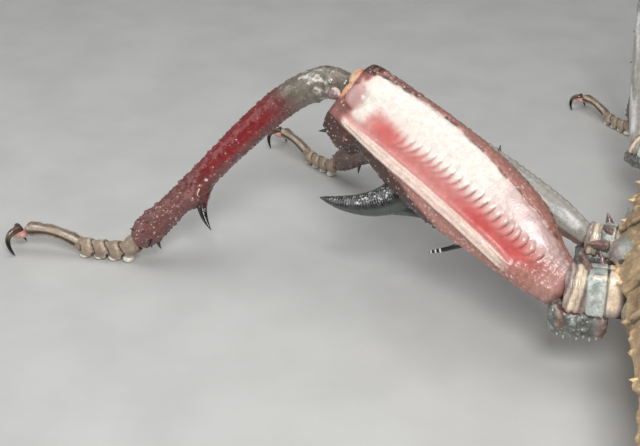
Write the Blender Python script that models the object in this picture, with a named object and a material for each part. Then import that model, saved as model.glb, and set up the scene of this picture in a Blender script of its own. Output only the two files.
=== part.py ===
"""Giant spiny stick insect, a male, as a still life-size model.

The insect faces +Y with the soles of its feet on Z = 0, and its right side is at +X.
Places and sizes are in millimetres up to the point where a mesh is stored, where MM
turns them into metres. Every leg is designed on one pattern, as a left leg whose first
coordinate is the distance out from the body's midline, and then swung and mirrored.
"""
import math

import bmesh
import bpy
from mathutils import Matrix, Vector

MM = 0.001
GAP = 0.3
SHARP_ANGLE = 50
TANGENT_STEP = 0.01

# Trunk, from the neck to the tip of the abdomen. Each station is
# (y, half width at the back's side margin, half width of the flank below it,
#  height of the margin, height of the back, height of the belly).
TRUNK = (
    (21.6, 4.0, 3.5, 9.5, 12.4, 5.9),
    (19.0, 4.9, 4.3, 9.8, 13.2, 5.3),
    (16.5, 5.3, 4.6, 10.0, 13.5, 5.1),
    (13.2, 5.1, 4.6, 10.1, 13.4, 5.1),
    (7.5, 5.5, 4.9, 10.6, 14.1, 5.0),
    (1.0, 6.2, 5.6, 11.0, 14.6, 4.9),
    (-5.3, 7.0, 7.1, 11.1, 14.6, 4.8),
    (-9.8, 7.7, 6.7, 11.1, 14.6, 4.8),
    (-13.6, 7.2, 7.4, 11.2, 14.5, 4.8),
    (-17.2, 6.5, 6.1, 11.1, 14.3, 5.0),
    (-22.0, 5.95, 5.4, 10.8, 13.8, 5.4),
    (-29.5, 4.7, 4.3, 10.3, 13.1, 5.5),
    (-42.0, 4.15, 3.8, 9.2, 12.0, 5.0),
    (-54.0, 4.0, 3.7, 8.1, 10.9, 4.2),
    (-62.0, 4.3, 3.85, 7.3, 10.3, 3.6),
    (-68.5, 3.9, 3.3, 6.6, 9.3, 3.4),
    (-74.0, 2.9, 2.4, 5.9, 7.7, 4.2),
)
# Solids of the trunk: name, front, rear, number of stations.
THORAX = (("prothorax", 21.6, 13.4, 6), ("mesothorax", 13.1, -7.5, 13), ("metathorax", -7.8, -21.5, 9))
ABDOMEN_FRONT = -21.8
ABDOMEN_LENGTHS = (7.2, 7.0, 6.8, 6.5, 6.1, 5.4, 4.7, 4.4, 3.9)
FIRST_SEGMENT = 2
SPINED_SEGMENTS = 6
THORAX_FLARE = 0.05
ABDOMEN_FLARE = 0.07
ABDOMEN_STATIONS = 4
# A segment's tuck under the one ahead of it, and the share and sharpness of its rear lip's.
TUCK_POWER = 2
LIP_SHARE = 0.6
LIP_POWER = 8
# Half outline of the trunk as shares: back (margin's width, rise), then flank (width, drop).
BACK_OUTLINE = ((0.45, 0.86), (0.82, 0.50), (1.0, 0.10))
EDGE_POINT = (0.98, 0.08)
FLANK_OUTLINE = ((0.93, 0.24), (1.0, 0.52), (0.62, 0.93))
# Spines of the trunk, in pairs: (share of the segment's length, place across as a share of
# the half width, rise above the margin as a share of the back's height, length).
TRUNK_SPINES = {
    "prothorax": ((0.35, 1.0, 0.0, 0.9), (0.8, 1.0, 0.0, 1.0), (0.6, 0.45, 0.9, 0.7)),
    "mesothorax": ((0.12, 1.0, 0.0, 0.8), (0.3, 1.0, 0.0, 1.0), (0.5, 1.0, 0.0, 1.0),
                   (0.7, 1.0, 0.0, 1.0), (0.9, 1.0, 0.0, 0.9), (0.3, 0.4, 0.9, 0.6),
                   (0.75, 0.4, 0.9, 0.7)),
    "metathorax": ((0.12, 1.0, 0.0, 0.8), (0.35, 1.0, 0.0, 0.9), (0.6, 1.0, 0.0, 0.8),
                   (0.4, 0.4, 0.9, 0.6)),
}
ABDOMEN_SPINE = (0.88, 1.0, 0.0, 0.8)
# Their lean: backward, up, and up further as a share of their place above the margin.
TRUNK_SPINE_LEAN = (-0.35, 0.25, 1.3)
# Tail feelers: the first one's place, its run outward, back and down, and (share, radius) rows.
CERCUS_ROOT = (1.3, 5.9)
CERCUS_RUN = (0.7, 2.2, 0.9)
CERCUS_RADII = ((0.0, 0.55), (0.4, 0.75), (0.8, 0.6), (1.0, 0.3))

# Head: (y, half width, centre height, half height, forward lean of the section).
HEAD = (
    (21.9, 2.5, 9.3, 2.5, 0.0),
    (22.5, 3.4, 9.4, 3.2, 0.0),
    (24.2, 4.1, 9.5, 3.7, 0.0),
    (26.6, 4.2, 9.5, 3.8, 0.05),
    (28.6, 3.8, 9.3, 3.6, 0.14),
    (30.2, 3.1, 8.9, 3.0, 0.26),
    (31.2, 2.4, 8.4, 2.3, 0.36),
)
# Crown of spines: (y, place across, rise, length), the middle two as shares of the head's size.
CROWN_SPINES = ((24.0, 0.35, 0.95, 1.7), (24.2, 0.8, 0.6, 1.6), (26.4, 0.4, 0.9, 1.5),
                (25.2, 1.0, 0.15, 1.3))
CROWN_LEAN = (-0.45, 0.25)
EYE_CENTRE = (3.45, 28.0, 10.1)
EYE_RADII = (1.25, 1.45, 1.4)
# Mouthparts: where they start, how they lean, and (share of the length, half width, half depth).
MOUTH_START = (0.0, 31.5, 8.2)
MOUTH_AHEAD = (0.0, 0.94, -0.34)
MOUTH_LENGTH = 2.1
MOUTH_SECTIONS = ((0, 1.9, 1.5), (0.45, 2.0, 1.5), (0.8, 1.6, 1.1), (1, 1.0, 0.6))
# Palps: place ahead, across and below the start, heading, radius, and distances of their steps.
PALP_PLACE = (1.2, 1.5, 0.9)
PALP_HEADING = (0.25, 0.55, -0.8)
PALP_FACING = (0.6, 0.0, -0.8)
PALP_RADIUS = 0.34
PALP_STEPS = (0.8, 1.7, 2.9)
# Feelers: the curve they follow, (share, radius) rows, and the share that the first joints take.
ANTENNA_CURVE = ((1.8, 31.9, 11.2), (4.2, 39.0, 15.6), (10.5, 52.0, 15.0), (15.5, 67.8, 10.5))
ANTENNA_RADII = ((0.0, 0.7), (0.05, 0.75), (0.07, 0.5), (0.3, 0.42), (1.0, 0.27))
ANTENNA_FIRST_JOINTS = (0, 0.025, 0.05, 0.065, 0.09)
ANTENNA_STEPS = 18

# Legs, drawn as left legs: (distance out, y, z) of the joints, and the outlines as
# (share of the length, size) pairs. Swing turns a leg about its coxa, in degrees.
LEGS = {
    "fore": dict(
        root=(5.1, 17.0, 7.3), base=(7.0, 18.4, 7.7), knee=(8.2, 32.8, 18.8),
        ankle=(7.7, 36.2, 2.2), toe=(14.3, 42.3, 1.7), coxa_size=(1.6, 1.8),
        dorsal=((0, 1.0), (0.2, 1.5), (0.55, 1.55), (0.85, 1.35), (1, 1.2)),
        ventral=((0, 1.0), (0.2, 1.45), (0.55, 1.6), (0.85, 1.4), (1, 1.2)),
        half=((0, 0.9), (0.25, 1.2), (0.6, 1.25), (0.85, 1.1), (1, 1.0)),
        tibia=((0, 1.0), (0.12, 1.1), (0.5, 0.95), (0.85, 0.95), (0.95, 1.1), (1, 1.0)),
        bow=((0.15, 1.3), (0.55, 0.2)), foot=0.78, swing={"left": 0.0, "right": -28.0}),
    "mid": dict(
        root=(7.65, -5.3, 8.4), base=(10.4, -5.1, 8.7), knee=(24.8, 7.1, 11.3),
        ankle=(39.9, 15.7, 2.1), toe=(48.2, 21.4, 2.0), coxa_size=(1.9, 2.3),
        dorsal=((0, 1.05), (0.2, 1.6), (0.55, 1.65), (0.85, 1.4), (1, 1.2)),
        ventral=((0, 1.05), (0.2, 1.45), (0.55, 1.55), (0.85, 1.4), (1, 1.2)),
        half=((0, 1.0), (0.25, 1.25), (0.6, 1.25), (0.85, 1.15), (1, 1.05)),
        tibia=((0, 1.05), (0.12, 1.15), (0.5, 1.0), (0.85, 1.0), (0.95, 1.15), (1, 1.05)),
        bow=((0.15, 1.4), (0.55, 0.2)), foot=0.85, swing={"left": 0.0, "right": 6.0}),
    "hind": dict(
        root=(7.85, -13.6, 8.1), base=(11.5, -13.8, 8.8), knee=(34.4, -1.8, 19.6),
        ankle=(54.5, -7.5, 2.5), toe=(66.4, -8.5, 2.3), coxa_size=(2.5, 3.2),
        dorsal=((0, 1.6), (0.09, 2.45), (0.2, 3.9), (0.32, 4.45), (0.45, 4.6),
                (0.63, 4.4), (0.84, 3.85), (1, 3.3)),
        ventral=((0, 2.3), (0.1, 2.95), (0.22, 3.4), (0.37, 3.95), (0.53, 4.35),
                 (0.7, 4.1), (0.86, 3.2), (1, 2.5)),
        half=((0, 1.8), (0.15, 2.5), (0.4, 3.1), (0.65, 3.0), (0.86, 2.6), (1, 2.2)),
        tibia=((0, 1.55), (0.15, 1.55), (0.5, 1.4), (0.8, 1.25), (0.93, 1.5), (1, 1.35)),
        bow=((0.13, 4.8), (0.5, 1.2)), foot=1.05, swing={"left": 0.0, "right": -9.0}),
}
HIP_REACH = 2.0
LEVEL_RISE = 0.2
TARSOMERES = 4
SHORT_JOINTS_SHARE = 0.52
# Points round a section of each piece, and stations along the shins.
SIDES = {"cercus": 8, "head": 16, "mouth": 10, "antenna": 6, "coxa": 12, "foot": 8, "claws": 6}
SHIN_SIDES = {"fore": 8, "mid": 8, "hind": 10}
SHIN_STATIONS = {"fore": 9, "mid": 9, "hind": 11}
SHIN_FLATNESS = 0.92

# Spines: (place along the piece, angle round it from posterior towards dorsal in degrees,
# length, lean towards the far end as a share of the length).
FEMUR_SPINES = {
    "fore": ((0.35, -60, 1.0, 0.3), (0.6, -60, 1.2, 0.3), (0.82, -60, 1.1, 0.3), (0.7, 90, 0.7, 0.3)),
    "mid": ((0.35, -60, 1.1, 0.3), (0.6, -60, 1.3, 0.3), (0.82, -60, 1.1, 0.3), (0.7, 90, 0.7, 0.3)),
    "hind": ((0.38, -125, 2.0, 0.5), (0.86, -125, 1.1, 0.4), (0.93, 60, 0.8, 0.4)),
}
TIBIA_SPINES = {
    "fore": ((0.5, -90, 0.8, 0.3), (0.85, -90, 0.9, 0.4)),
    "mid": ((0.5, -90, 0.9, 0.3), (0.85, -90, 1.0, 0.4)),
    "hind": ((0.84, -90, 2.8, 0.25), (0.96, -60, 1.1, 0.5), (0.96, -120, 1.1, 0.5)),
}
SPUR_PLACE = 0.62
SPUR_COURSE = ((0.2, -1.3, 1.3), (1.4, -2.7, 1.1), (3.0, -3.9, 0.8), (4.6, -4.6, 0.45))
SPUR_TIP = (6.0, -4.8)
SPUR_FORWARD = 0.9
# Flap of the thigh below the knee: (distance past the knee, drop, radius).
KNEE_LOBE_ROOT = (-1.4, 2.8)
KNEE_LOBE = ((-0.6, 3.3, 1.0), (0.3, 3.45, 0.8), (0.9, 3.4, 0.5))
KNEE_LOBE_TIP = (1.4, 3.3)
# Thorn on a hip: (share of the way to the thigh, direction, length).
HIP_THORN = (0.45, (-0.3, -0.2, 1.0), 0.9)
HIP_SHARES = (0.0, 0.3, 0.62, 1.0)
HIP_SWELL = 0.08
HIP_END_SHARE = 0.98
# A short foot joint, then the long one: (share of its length, width), on a foot of size 1.
SHORT_JOINT = ((0.38, 1.0), (0.82, 1.06), (1.0, 0.62))
LONG_JOINT = ((0.66, 0.56), (0.82, 0.55))
FOOT_ENDS = (0.72, 0.66, 0.5)
TOE_LENGTH = 0.4
FOOT_TALLNESS = 1.05
# Height of a foot's middle line on a foot of size 1, where it comes down from the shin as
# (share, height above that), and where it starts to climb as (share, part of the climb).
SOLE_HEIGHT = 1.1
HEEL = (0.09, 0.25)
SOLE_START = 0.2
CLIMB = (0.75, 0.45)
# Claws of a foot of size 1: how far ahead they stand, the two bends of a hook and its tip as
# (ahead, across, up), radii from its foot to its tip, and stations there.
CLAW_FOOT = 0.42
CLAW_BENDS = ((1.1, 0.9, 0.35), (1.75, 1.8, -0.5))
CLAW_TIP = (0.35, 1.75)
CLAW_RADII = ((0.0, 0.44), (0.35, 0.36), (0.7, 0.26), (0.92, 0.14), (1.0, 0.05))
CLAW_STATIONS = (1.0, 0.85, 0.62, 0.38, 0.16, 0.0)
CLAW_TIP_HEIGHT = 0.25
SHORTEST_CROSS = 0.05
# Shares of the length at which the thighs' sections lie.
BIG_STATIONS = (0, 0.05, 0.13, 0.22, 0.32, 0.43, 0.54, 0.65, 0.77, 0.89, 1)
SLIM_STATIONS = (0, 0.1, 0.24, 0.4, 0.56, 0.72, 0.87, 1)
# A spine's foot is this much smaller than the face it stands on, which looks at least this
# much the spine's way.
FOOT_INSET = 0.28
FACING_SHARE = 0.35

COLOURS = {
    "shell": ((0.10, 0.062, 0.040, 1.0), 0.55),
    "thigh": ((0.42, 0.10, 0.11, 1.0), 0.30),
    "shin": ((0.17, 0.022, 0.030, 1.0), 0.38),
    "leg": ((0.13, 0.085, 0.070, 1.0), 0.42),
    "foot": ((0.24, 0.17, 0.14, 1.0), 0.50),
    "horn": ((0.018, 0.017, 0.018, 1.0), 0.28),
    "eye": ((0.030, 0.018, 0.012, 1.0), 0.12),
}


def clear_scene():
    """Empties the scene of objects."""
    for old in list(bpy.data.objects):
        bpy.data.objects.remove(old, do_unlink=True)


def material(name, kind):
    """A Principled material of one colour."""
    colour, roughness = COLOURS[kind]
    made = bpy.data.materials.new(name)
    made.use_nodes = True
    shader = made.node_tree.nodes["Principled BSDF"]
    shader.inputs["Base Color"].default_value = colour
    shader.inputs["Roughness"].default_value = roughness
    shader.inputs["Metallic"].default_value = 0.0
    return made


def blend_rows(rows, at):
    """The values beside a row's first entry, read at a place by a smooth curve."""
    rows = sorted(rows)
    at = min(max(at, rows[0][0]), rows[-1][0])
    right = next(i for i in range(1, len(rows)) if at <= rows[i][0])
    left = right - 1
    span = rows[right][0] - rows[left][0]
    t = (at - rows[left][0]) / span
    result = []
    for k in range(1, len(rows[0])):
        slopes = []
        for i in (left, right):
            low = rows[max(i - 1, 0)]
            high = rows[min(i + 1, len(rows) - 1)]
            slopes.append((high[k] - low[k]) / (high[0] - low[0]) * span)
        a = rows[left][k]
        b = rows[right][k]
        value = a * (2 * t**3 - 3 * t**2 + 1) + b * (3 * t**2 - 2 * t**3)
        value += slopes[0] * (t**3 - 2 * t**2 + t) + slopes[1] * (t**3 - t**2)
        result.append(value)
    return result if len(result) > 1 else result[0]


def bezier(points, t):
    """A point on the cubic through four control points."""
    a, b, c, d = points
    s = 1 - t
    return a * s**3 + b * (3 * s * s * t) + c * (3 * s * t * t) + d * t**3


def heading_along(points, t):
    """The cubic's direction at a share of its length, not made to unit length."""
    return bezier(points, min(t + TANGENT_STEP, 1)) - bezier(points, max(t - TANGENT_STEP, 0))


def skin(rings):
    """A closed body over rings that have the same number of points."""
    body = bmesh.new()
    rows = [[body.verts.new(point) for point in ring] for ring in rings]
    count = len(rows[0])
    for near, far in zip(rows, rows[1:]):
        for k in range(count):
            following = (k + 1) % count
            body.faces.new((near[k], near[following], far[following], far[k]))
    body.faces.new(rows[0][::-1])
    body.faces.new(rows[-1])
    bmesh.ops.recalc_face_normals(body, faces=body.faces)
    return body


def face_near(body, point, facing):
    """The four-sided face nearest to a point, of those that look the given way."""
    choice = [f for f in body.faces if len(f.verts) == 4 and f.normal.dot(facing) > FACING_SHARE]
    return min(choice, key=lambda f: (f.calc_center_median() - point).length)


def raise_spine(body, point, direction, length):
    """Draws a face of the body out to a cone on a narrower foot."""
    body.normal_update()
    facing = direction.normalized()
    face = face_near(body, point, facing)
    shortest = min(edge.calc_length() for edge in face.edges)
    bmesh.ops.inset_individual(body, faces=[face], thickness=FOOT_INSET * shortest)
    tip = face.calc_center_median() + facing * length
    apex = bmesh.ops.poke(body, faces=[face])["verts"][0]
    apex.co = tip


def raise_horn(body, point, facing, course, tip):
    """Draws a face out along a bent course of (centre, radius) steps to a tip."""
    body.normal_update()
    face = face_near(body, point, facing)
    heading = face.normal.copy()
    previous = face.calc_center_median()
    for centre, radius in course:
        face = bmesh.ops.extrude_discrete_faces(body, faces=[face])["faces"][0]
        middle = face.calc_center_median()
        turn = heading.rotation_difference((centre - previous).normalized())
        for vertex in face.verts:
            arm = turn @ (vertex.co - middle)
            vertex.co = centre + arm.normalized() * radius
        heading = (centre - previous).normalized()
        previous = centre
    apex = bmesh.ops.poke(body, faces=[face])["verts"][0]
    apex.co = tip


def store(body, name, kind, move=None):
    """Turns a body in millimetres into a named object in metres."""
    if move is not None:
        for vertex in body.verts:
            vertex.co = move(vertex.co)
    bmesh.ops.scale(body, vec=(MM, MM, MM), verts=body.verts)
    bmesh.ops.triangulate(body, faces=[f for f in body.faces if len(f.verts) > 4])
    bmesh.ops.recalc_face_normals(body, faces=body.faces)
    mesh = bpy.data.meshes.new(name)
    body.to_mesh(mesh)
    body.free()
    mesh.shade_smooth()
    mesh.set_sharp_from_angle(angle=math.radians(SHARP_ANGLE))
    mesh.materials.append(material(name, kind))
    made = bpy.data.objects.new(name, mesh)
    bpy.context.scene.collection.objects.link(made)
    return made


def trunk_ring(y, tuck=1.0):
    """One cross-section of the trunk: keeled back, sharp margins, flanks and belly."""
    margin, flank, side, back, belly = blend_rows(TRUNK, y)
    rise = back - side
    drop = side - belly
    half = [(across * margin, up * rise) for across, up in BACK_OUTLINE]
    half.append((EDGE_POINT[0] * margin, -EDGE_POINT[1] * drop))
    half += [(across * flank, -down * drop) for across, down in FLANK_OUTLINE]
    right = [(0.0, rise)] + half + [(0.0, -drop)]
    left = [(-x, z) for x, z in reversed(half)]
    return [Vector((x * tuck, y, side + z * tuck)) for x, z in right + left]


def trunk_segment(name, front, rear, count, spines, flare):
    """A segment of the trunk whose rear edge stands a little over its front edge."""
    rings = []
    for i in range(count):
        share = i / (count - 1)
        lip = LIP_SHARE * share**LIP_POWER
        tuck = 1.0 - flare * ((1 - share) ** TUCK_POWER + lip)
        rings.append(trunk_ring(front + (rear - front) * share, tuck))
    body = skin(rings)
    backward, upward_lean, steeper = TRUNK_SPINE_LEAN
    for share, out, up, length in spines:
        y = front + (rear - front) * share
        margin, _, side, back, _ = blend_rows(TRUNK, y)
        for hand in (-1, 1):
            point = Vector((hand * margin * out, y, side + (back - side) * up))
            lean = Vector((hand * out, backward, upward_lean + steeper * up))
            raise_spine(body, point, lean, length)
    return store(body, name, "shell")


def build_trunk():
    """Three thoracic solids, the nine free segments of the abdomen and the tail feelers."""
    for name, front, rear, count in THORAX:
        trunk_segment(name, front, rear, count, TRUNK_SPINES[name], THORAX_FLARE)
    front = ABDOMEN_FRONT
    for i, length in enumerate(ABDOMEN_LENGTHS):
        rear = front - length
        spines = (ABDOMEN_SPINE,) if i < SPINED_SEGMENTS else ()
        name = f"abdomen_{FIRST_SEGMENT + i}"
        trunk_segment(name, front, rear, ABDOMEN_STATIONS, spines, ABDOMEN_FLARE)
        front = rear - GAP
    across = Vector((1, 0, 0))
    up = Vector((0, 0, 1))
    for hand, side in ((-1, "left"), (1, "right")):
        rings = []
        for share, radius in CERCUS_RADII:
            out, back, down = (run * share for run in CERCUS_RUN)
            centre = Vector((hand * (CERCUS_ROOT[0] + out), front - back, CERCUS_ROOT[1] - down))
            rings.append(ring_about(centre, across, up, radius, radius, SIDES["cercus"]))
        store(skin(rings), f"cercus_{side}", "shell")


def ring_about(centre, across, up, half_width, half_height, count):
    """An oval ring in the plane of two directions."""
    turns = [2 * math.pi * k / count for k in range(count)]
    return [centre + across * (half_width * math.cos(a)) + up * (half_height * math.sin(a))
            for a in turns]


def build_head():
    """The head with its crown of spines and the two sockets for the eyes."""
    rings = []
    across = Vector((1, 0, 0))
    for y, width, height, depth, lean in HEAD:
        tilted = Vector((0, lean, 1))
        centre = Vector((0, y, height))
        rings.append(ring_about(centre, across, tilted, width, depth, SIDES["head"]))
    body = skin(rings)
    for y, out, rise, length in CROWN_SPINES:
        width, height, depth, _ = blend_rows(HEAD, y)
        for hand in (-1, 1):
            point = Vector((hand * width * out, y, height + depth * rise))
            lean = Vector((hand * out, CROWN_LEAN[0], rise + CROWN_LEAN[1]))
            raise_spine(body, point, lean, length)
    head = store(body, "head", "shell")
    for hand, side in ((-1, "left"), (1, "right")):
        centre = Vector((hand * EYE_CENTRE[0], EYE_CENTRE[1], EYE_CENTRE[2]))
        store(ball(centre, EYE_RADII), f"eye_{side}", "eye")
        radii = [radius + GAP for radius in EYE_RADII]
        cutter = store(ball(centre, radii), f"socket_{side}", "eye")
        cutter.hide_render = True
        cutter.display_type = "WIRE"
        cut = head.modifiers.new(f"socket_{side}", "BOOLEAN")
        cut.operation = "DIFFERENCE"
        cut.solver = "EXACT"
        cut.object = cutter


def ball(centre, radii):
    """A closed oval body of three radii."""
    body = bmesh.new()
    bmesh.ops.create_uvsphere(body, u_segments=12, v_segments=8, radius=1.0)
    for vertex in body.verts:
        vertex.co = centre + Vector([c * r for c, r in zip(vertex.co, radii)])
    return body


def build_mouthparts():
    """Lip and jaws in one block under the face, with two palps drawn out of it."""
    rings = []
    across = Vector((1, 0, 0))
    forward = Vector(MOUTH_AHEAD)
    up = across.cross(forward)
    start = Vector(MOUTH_START)
    for share, width, depth in MOUTH_SECTIONS:
        centre = start + forward * (MOUTH_LENGTH * share)
        rings.append(ring_about(centre, across, up, width, depth, SIDES["mouth"]))
    body = skin(rings)
    ahead, out, below = PALP_PLACE
    for hand in (-1, 1):
        root = start + forward * ahead + across * (hand * out) - up * below
        mirror = Vector((hand, 1, 1))
        heading = (Vector(PALP_HEADING) * mirror).normalized()
        course = [(root + heading * step, PALP_RADIUS) for step in PALP_STEPS[:-1]]
        raise_horn(body, root, Vector(PALP_FACING) * mirror, course, root + heading * PALP_STEPS[-1])
    store(body, "mouthparts", "shell")


def build_antennae():
    """Two feelers: a thick first joint and a long, slowly thinning whip."""
    for hand, side in ((-1, "left"), (1, "right")):
        points = [Vector((hand * x, y, z)) for x, y, z in ANTENNA_CURVE]
        points[0] += (points[1] - points[0]).normalized() * GAP
        whip = ANTENNA_FIRST_JOINTS[-1]
        steps = [whip + (1 - whip) * (k + 1) / ANTENNA_STEPS for k in range(ANTENNA_STEPS)]
        stations = list(ANTENNA_FIRST_JOINTS) + steps
        rings = []
        for t in stations:
            centre = bezier(points, t)
            ahead = heading_along(points, t)
            across = ahead.cross(Vector((0, 0, 1))).normalized()
            up = across.cross(ahead).normalized()
            radius = blend_rows(ANTENNA_RADII, t)
            rings.append(ring_about(centre, across, up, radius, radius, SIDES["antenna"]))
        store(skin(rings), f"antenna_{side}", "leg")


def leg_frame(plan):
    """Joints of a left leg as vectors, and the normal of the plane it bends in."""
    joints = {}
    for key in ("root", "base", "knee", "ankle", "toe"):
        out, y, z = plan[key]
        joints[key] = Vector((-out, y, z))
    thigh = joints["knee"] - joints["base"]
    shin = joints["ankle"] - joints["knee"]
    normal = thigh.cross(shin).normalized()
    joints["rear"] = normal if normal.y < 0 else -normal
    return joints


def square_to(direction, axis):
    """A direction made square to an axis."""
    return (direction - axis * direction.dot(axis)).normalized()


def upward(rear, ahead):
    """The direction away from the bend, square to a heading in the leg's plane."""
    up = ahead.cross(rear).normalized()
    return up if up.z > 0 or abs(up.z) < LEVEL_RISE and up.x < 0 else -up


def mover(plan, side, joints):
    """Swings a left leg about its coxa and mirrors it for the right side."""
    hand = -1 if side == "right" else 1
    root = joints["root"]

    def move(point):
        share = min(max((root.x - point.x) / HIP_REACH, 0.0), 1.0)
        turn = Matrix.Rotation(math.radians(-plan["swing"][side] * share), 3, "Z")
        swung = root + turn @ (point - root)
        return Vector((hand * swung.x, swung.y, swung.z))
    return move


def tibia_curve(plan, joints):
    """Control points of the bowed shin."""
    knee = joints["knee"]
    chord = joints["ankle"] - knee
    out = chord.cross(joints["rear"]).normalized()
    if out.dot(joints["base"] - knee) > 0:
        out = -out
    bends = [knee + chord * share + out * rise for share, rise in plan["bow"]]
    return [knee, bends[0], bends[1], joints["ankle"]]


def thigh_section(dorsal, ventral, half):
    """Outline of a thigh: keeled above, flat behind, with two ridges below."""
    return ((0.0, dorsal), (0.62 * half, 0.88 * dorsal), (0.92 * half, 0.35 * dorsal),
            (1.0 * half, -0.2 * ventral), (1.02 * half, -0.55 * ventral),
            (0.6 * half, -0.9 * ventral), (0.0, -0.97 * ventral), (-0.6 * half, -0.97 * ventral),
            (-0.95 * half, -0.55 * ventral), (-1.0 * half, -0.05 * ventral),
            (-0.92 * half, 0.42 * dorsal), (-0.6 * half, 0.88 * dorsal))


def slim_section(dorsal, ventral, half):
    """Outline of a slender thigh: an oval with soft edges above and below."""
    return ((0.0, dorsal), (0.75 * half, 0.68 * dorsal), (half, 0.0), (0.78 * half, -0.7 * ventral),
            (0.0, -ventral), (-0.78 * half, -0.7 * ventral), (-half, 0.0),
            (-0.75 * half, 0.68 * dorsal))


def spined_at(centre, rear, up, ahead, angle, reach, lean):
    """A surface point and a spine's direction at an angle round a limb."""
    turn = math.radians(angle)
    out = rear * math.cos(turn) + up * math.sin(turn)
    return centre + out * reach, out + ahead * lean


def build_femur(kind, side, plan, joints):
    """Thigh, cut square to the line that halves the bend at each end."""
    base = joints["base"]
    knee = joints["knee"]
    ahead = (knee - base).normalized()
    rear = joints["rear"]
    up = upward(rear, ahead)
    before = ((base - joints["root"]).normalized() + ahead).normalized()
    curve = tibia_curve(plan, joints)
    after = (ahead + (curve[1] - knee).normalized()).normalized()
    big = kind == "hind"
    stations = BIG_STATIONS if big else SLIM_STATIONS
    section = thigh_section if big else slim_section
    rings = []
    for share in stations:
        centre = base + (knee - base) * share
        normal = ahead
        if share == 0:
            centre = centre + before * (GAP / 2)
            normal = before
        if share == 1:
            centre = centre - after * (GAP / 2)
            normal = after
        sizes = [blend_rows(plan[key], share) for key in ("dorsal", "ventral", "half")]
        ring = []
        for across, height in section(*sizes):
            point = centre + rear * across + up * height
            slip = (point - centre).dot(normal) / ahead.dot(normal)
            ring.append(point - ahead * slip)
        rings.append(ring)
    body = skin(rings)
    if big:
        root = base + (knee - base) * SPUR_PLACE - up * blend_rows(plan["ventral"], SPUR_PLACE)
        root = root - rear * SPUR_FORWARD
        course = [(root + ahead * x + up * z, radius) for x, z, radius in SPUR_COURSE]
        tip = root + ahead * SPUR_TIP[0] + up * SPUR_TIP[1]
        raise_horn(body, root, -up, course, tip)
        lobe = [(knee + ahead * x - up * z, radius) for x, z, radius in KNEE_LOBE]
        root = knee + ahead * KNEE_LOBE_ROOT[0] - up * KNEE_LOBE_ROOT[1]
        raise_horn(body, root, -up, lobe, knee + ahead * KNEE_LOBE_TIP[0] - up * KNEE_LOBE_TIP[1])
    for place, angle, length, lean in FEMUR_SPINES[kind]:
        reach = blend_rows(plan["ventral"], place)
        centre = base + (knee - base) * place
        point, direction = spined_at(centre, rear, up, ahead, angle, reach, lean)
        raise_spine(body, point, direction, length)
    kind_of_skin = "thigh" if big else "leg"
    store(body, f"{kind}_femur_{side}", kind_of_skin, mover(plan, side, joints))


def build_tibia(kind, side, plan, joints):
    """Shin: a bowed rod, swollen at its far end, spined on its inner side."""
    curve = tibia_curve(plan, joints)
    knee = joints["knee"]
    rear = joints["rear"]
    thigh = (knee - joints["base"]).normalized()
    start = (thigh + (curve[1] - knee).normalized()).normalized()
    foot = foot_heading(joints)
    finish = ((curve[3] - curve[2]).normalized() + foot).normalized()
    count = SHIN_STATIONS[kind]
    rings = []
    for i in range(count):
        t = i / (count - 1)
        centre = bezier(curve, t)
        ahead = heading_along(curve, t).normalized()
        if i == 0:
            ahead = start
            centre = centre + start * (GAP / 2)
        if i == count - 1:
            ahead = finish
            centre = centre - finish * (GAP / 2)
        across = square_to(rear, ahead)
        up = across.cross(ahead)
        radius = blend_rows(plan["tibia"], t)
        flat = SHIN_FLATNESS * radius
        rings.append(ring_about(centre, across, up, flat, radius, SHIN_SIDES[kind]))
    body = skin(rings)
    for place, angle, length, lean in TIBIA_SPINES[kind]:
        centre = bezier(curve, place)
        ahead = heading_along(curve, place).normalized()
        up = rear.cross(ahead).normalized()
        if up.dot(thigh) < 0:
            up = -up
        reach = blend_rows(plan["tibia"], place)
        point, direction = spined_at(centre, rear, up, ahead, angle, reach, lean)
        raise_spine(body, point, direction, length)
    kind_of_skin = "shin" if kind == "hind" else "leg"
    store(body, f"{kind}_tibia_{side}", kind_of_skin, mover(plan, side, joints))


def foot_heading(joints):
    """The level direction in which the foot points."""
    ahead = joints["toe"] - joints["ankle"]
    ahead.z = 0
    return ahead.normalized()


def build_coxa(kind, side, plan, joints):
    """Hip block from the flank to the thigh, with the trochanter at its far end."""
    root = joints["root"]
    base = joints["base"]
    thigh = (joints["knee"] - base).normalized()
    finish = ((base - root).normalized() + thigh).normalized()
    width, height = plan["coxa_size"]
    rear = joints["rear"]
    up = upward(rear, thigh)
    narrow = blend_rows(plan["half"], 0) * HIP_END_SHARE
    tall = (blend_rows(plan["dorsal"], 0) + blend_rows(plan["ventral"], 0)) / 2
    rings = []
    for share in HIP_SHARES:
        centre = root.lerp(base, share)
        across = Vector((0, -1, 0)).lerp(rear, share)
        upright = Vector((0, 0, 1)).lerp(up, share)
        half = width * (1 - share) + narrow * share
        rise = height * (1 - share) + tall * share
        if share == 1.0:
            centre = base - finish * (GAP / 2)
            across = square_to(across, finish)
            upright = square_to(upright, finish)
        swell = 1.0 + HIP_SWELL * math.sin(math.pi * share)
        half *= swell
        rise *= swell
        rings.append(ring_about(centre, across, upright, half, rise, SIDES["coxa"]))
    body = skin(rings)
    share, lean, length = HIP_THORN
    raise_spine(body, root.lerp(base, share) + Vector((0, 0, height)), Vector(lean), length)
    store(body, f"{kind}_coxa_{side}", "leg", mover(plan, side, joints))


def foot_centre(plan, joints, share):
    """A point on the foot's middle line, and the line's height there."""
    start = joints["ankle"]
    toe = joints["toe"]
    low = SOLE_HEIGHT * plan["foot"]
    level = start.lerp(toe, share)
    heights = ((0.0, start.z), (HEEL[0], low + HEEL[1]), (SOLE_START, low),
               (SHORT_JOINTS_SHARE, low), (CLIMB[0], low + CLIMB[1] * (toe.z - low)),
               (1.0, toe.z))
    level.z = blend_rows(heights, share)
    return level


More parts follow.
